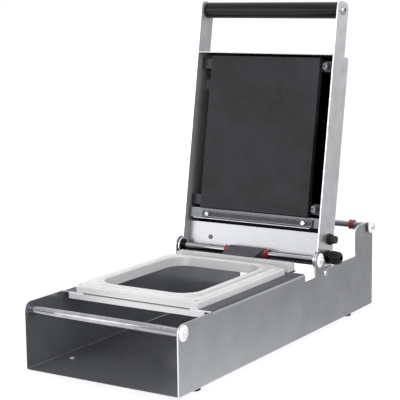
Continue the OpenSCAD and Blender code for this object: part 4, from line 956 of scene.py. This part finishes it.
# Paper that is white in the picture; in the metal it fades outside a painted pool of light in front
def makeFloor():
    half = studio["floorSize"] / 2
    mesh = bpy.data.meshes.new("floor")
    corners = [(-half, -half, 0), (half, -half, 0), (half, half, 0), (-half, half, 0)]
    mesh.from_pydata(corners, [], [(0, 1, 2, 3)])
    floor = addObject("floor", mesh)
    material, tree, spot = openFinish("studioPaper")
    paper = addNode(tree, "ShaderNodeBsdfDiffuse", {"Color": linearColour(studio["floor"])})[0]
    away = addNode(tree, "ShaderNodeVectorMath", {0: spot, 1: studio["pool"]}, operation="DISTANCE")["Value"]
    pool = addNode(tree, "ShaderNodeMapRange", {
        "Value": away, "From Min": studio["poolFrom"], "From Max": studio["poolTo"],
        "To Min": studio["poolGlow"], "To Max": studio["farGlow"],
    }, interpolation_type="SMOOTHSTEP")[0]
    direct = addNode(tree, "ShaderNodeLightPath")["Is Camera Ray"]
    strength = addNode(tree, "ShaderNodeMix", {0: direct, 2: pool, 3: studio["floorGlow"]})[0]
    glow = addNode(tree, "ShaderNodeEmission", {"Strength": strength})[0]
    share = addNode(tree, "ShaderNodeMath", {0: seenShare(tree), 1: studio["glowShare"]},
                    operation="MULTIPLY")[0]
    surface = addNode(tree, "ShaderNodeMixShader", {0: share, 1: paper, 2: glow})[0]
    addNode(tree, "ShaderNodeOutputMaterial", {"Surface": surface})
    mesh.materials.append(material)


# White surround; in the metal it darkens low in front, where a real studio's room lies
def makeSurround():
    world = bpy.data.worlds.new("studioSurround")
    bpy.context.scene.world = world
    world.use_nodes = True
    tree = world.node_tree
    tree.nodes.clear()
    direct = addNode(tree, "ShaderNodeMapRange", {
        "Value": seenShare(tree), "To Min": studio["ambient"], "To Max": studio["surround"],
    })[0]
    way = addNode(tree, "ShaderNodeTexCoord")["Generated"]
    _, back, height = addNode(tree, "ShaderNodeSeparateXYZ", {0: way})
    front = addNode(tree, "ShaderNodeMapRange", {
        "Value": back, "From Min": studio["frontFrom"], "From Max": studio["frontTo"],
    }, interpolation_type="SMOOTHSTEP")[0]
    low = addNode(tree, "ShaderNodeMapRange", {
        "Value": height, "From Min": studio["bandTo"], "From Max": studio["bandFrom"],
    }, interpolation_type="SMOOTHSTEP")[0]
    share = addNode(tree, "ShaderNodeMath", {0: front, 1: low}, operation="MULTIPLY")[0]
    band = addNode(tree, "ShaderNodeMapRange", {
        "Value": share, "To Min": studio["surround"], "To Max": studio["lowBand"],
    })[0]
    mirrored = addNode(tree, "ShaderNodeLightPath")["Is Glossy Ray"]
    level = addNode(tree, "ShaderNodeMix", {0: mirrored, 2: direct, 3: band})[0]
    sky = addNode(tree, "ShaderNodeBackground", {"Color": (1, 1, 1, 1), "Strength": level})[0]
    addNode(tree, "ShaderNodeOutputWorld", {"Surface": sky})


def addLamp(lamp):
    light = bpy.data.lights.new(lamp["name"], "AREA")
    light.shape = "DISK"
    light.size = lamp["size"]
    light.energy = lamp["power"]
    holder = addObject(lamp["name"], light)
    aim = Vector(lamp["aim"]) - Vector(lamp["place"])
    turn = aim.to_track_quat("-Z", "Y").to_matrix().to_4x4()
    holder.matrix_world = Matrix.Translation(lamp["place"]) @ turn


makeFloor()
makeSurround()
for lamp in studio["lamps"]:
    addLamp(lamp)

# The photograph's view: angles in radians, turned left from +Y, tipped down, and rolled
photoView = {"place": (1.0003324, -1.601785, 0.5292587), "turned": 0.568, "tipped": 0.165, "rolled": 0.0126,
             "lens": 117.23, "sensor": 36, "reach": 30}


def placeCamera(view):
    lens = bpy.data.cameras.new("photoCamera")
    lens.sensor_width = view["sensor"]
    lens.sensor_height = view["sensor"]
    lens.lens = view["lens"]
    lens.clip_end = view["reach"]
    camera = addObject("photoCamera", lens)
    turn = Euler((math.pi / 2 - view["tipped"], 0, view["turned"])).to_matrix().to_4x4()
    roll = Matrix.Rotation(-view["rolled"], 4, "Z")
    camera.matrix_world = Matrix.Translation(view["place"]) @ turn @ roll
    bpy.context.scene.camera = camera


placeCamera(photoView)
bpy.context.scene.view_settings.view_transform = "Standard"
print("studio and camera set")
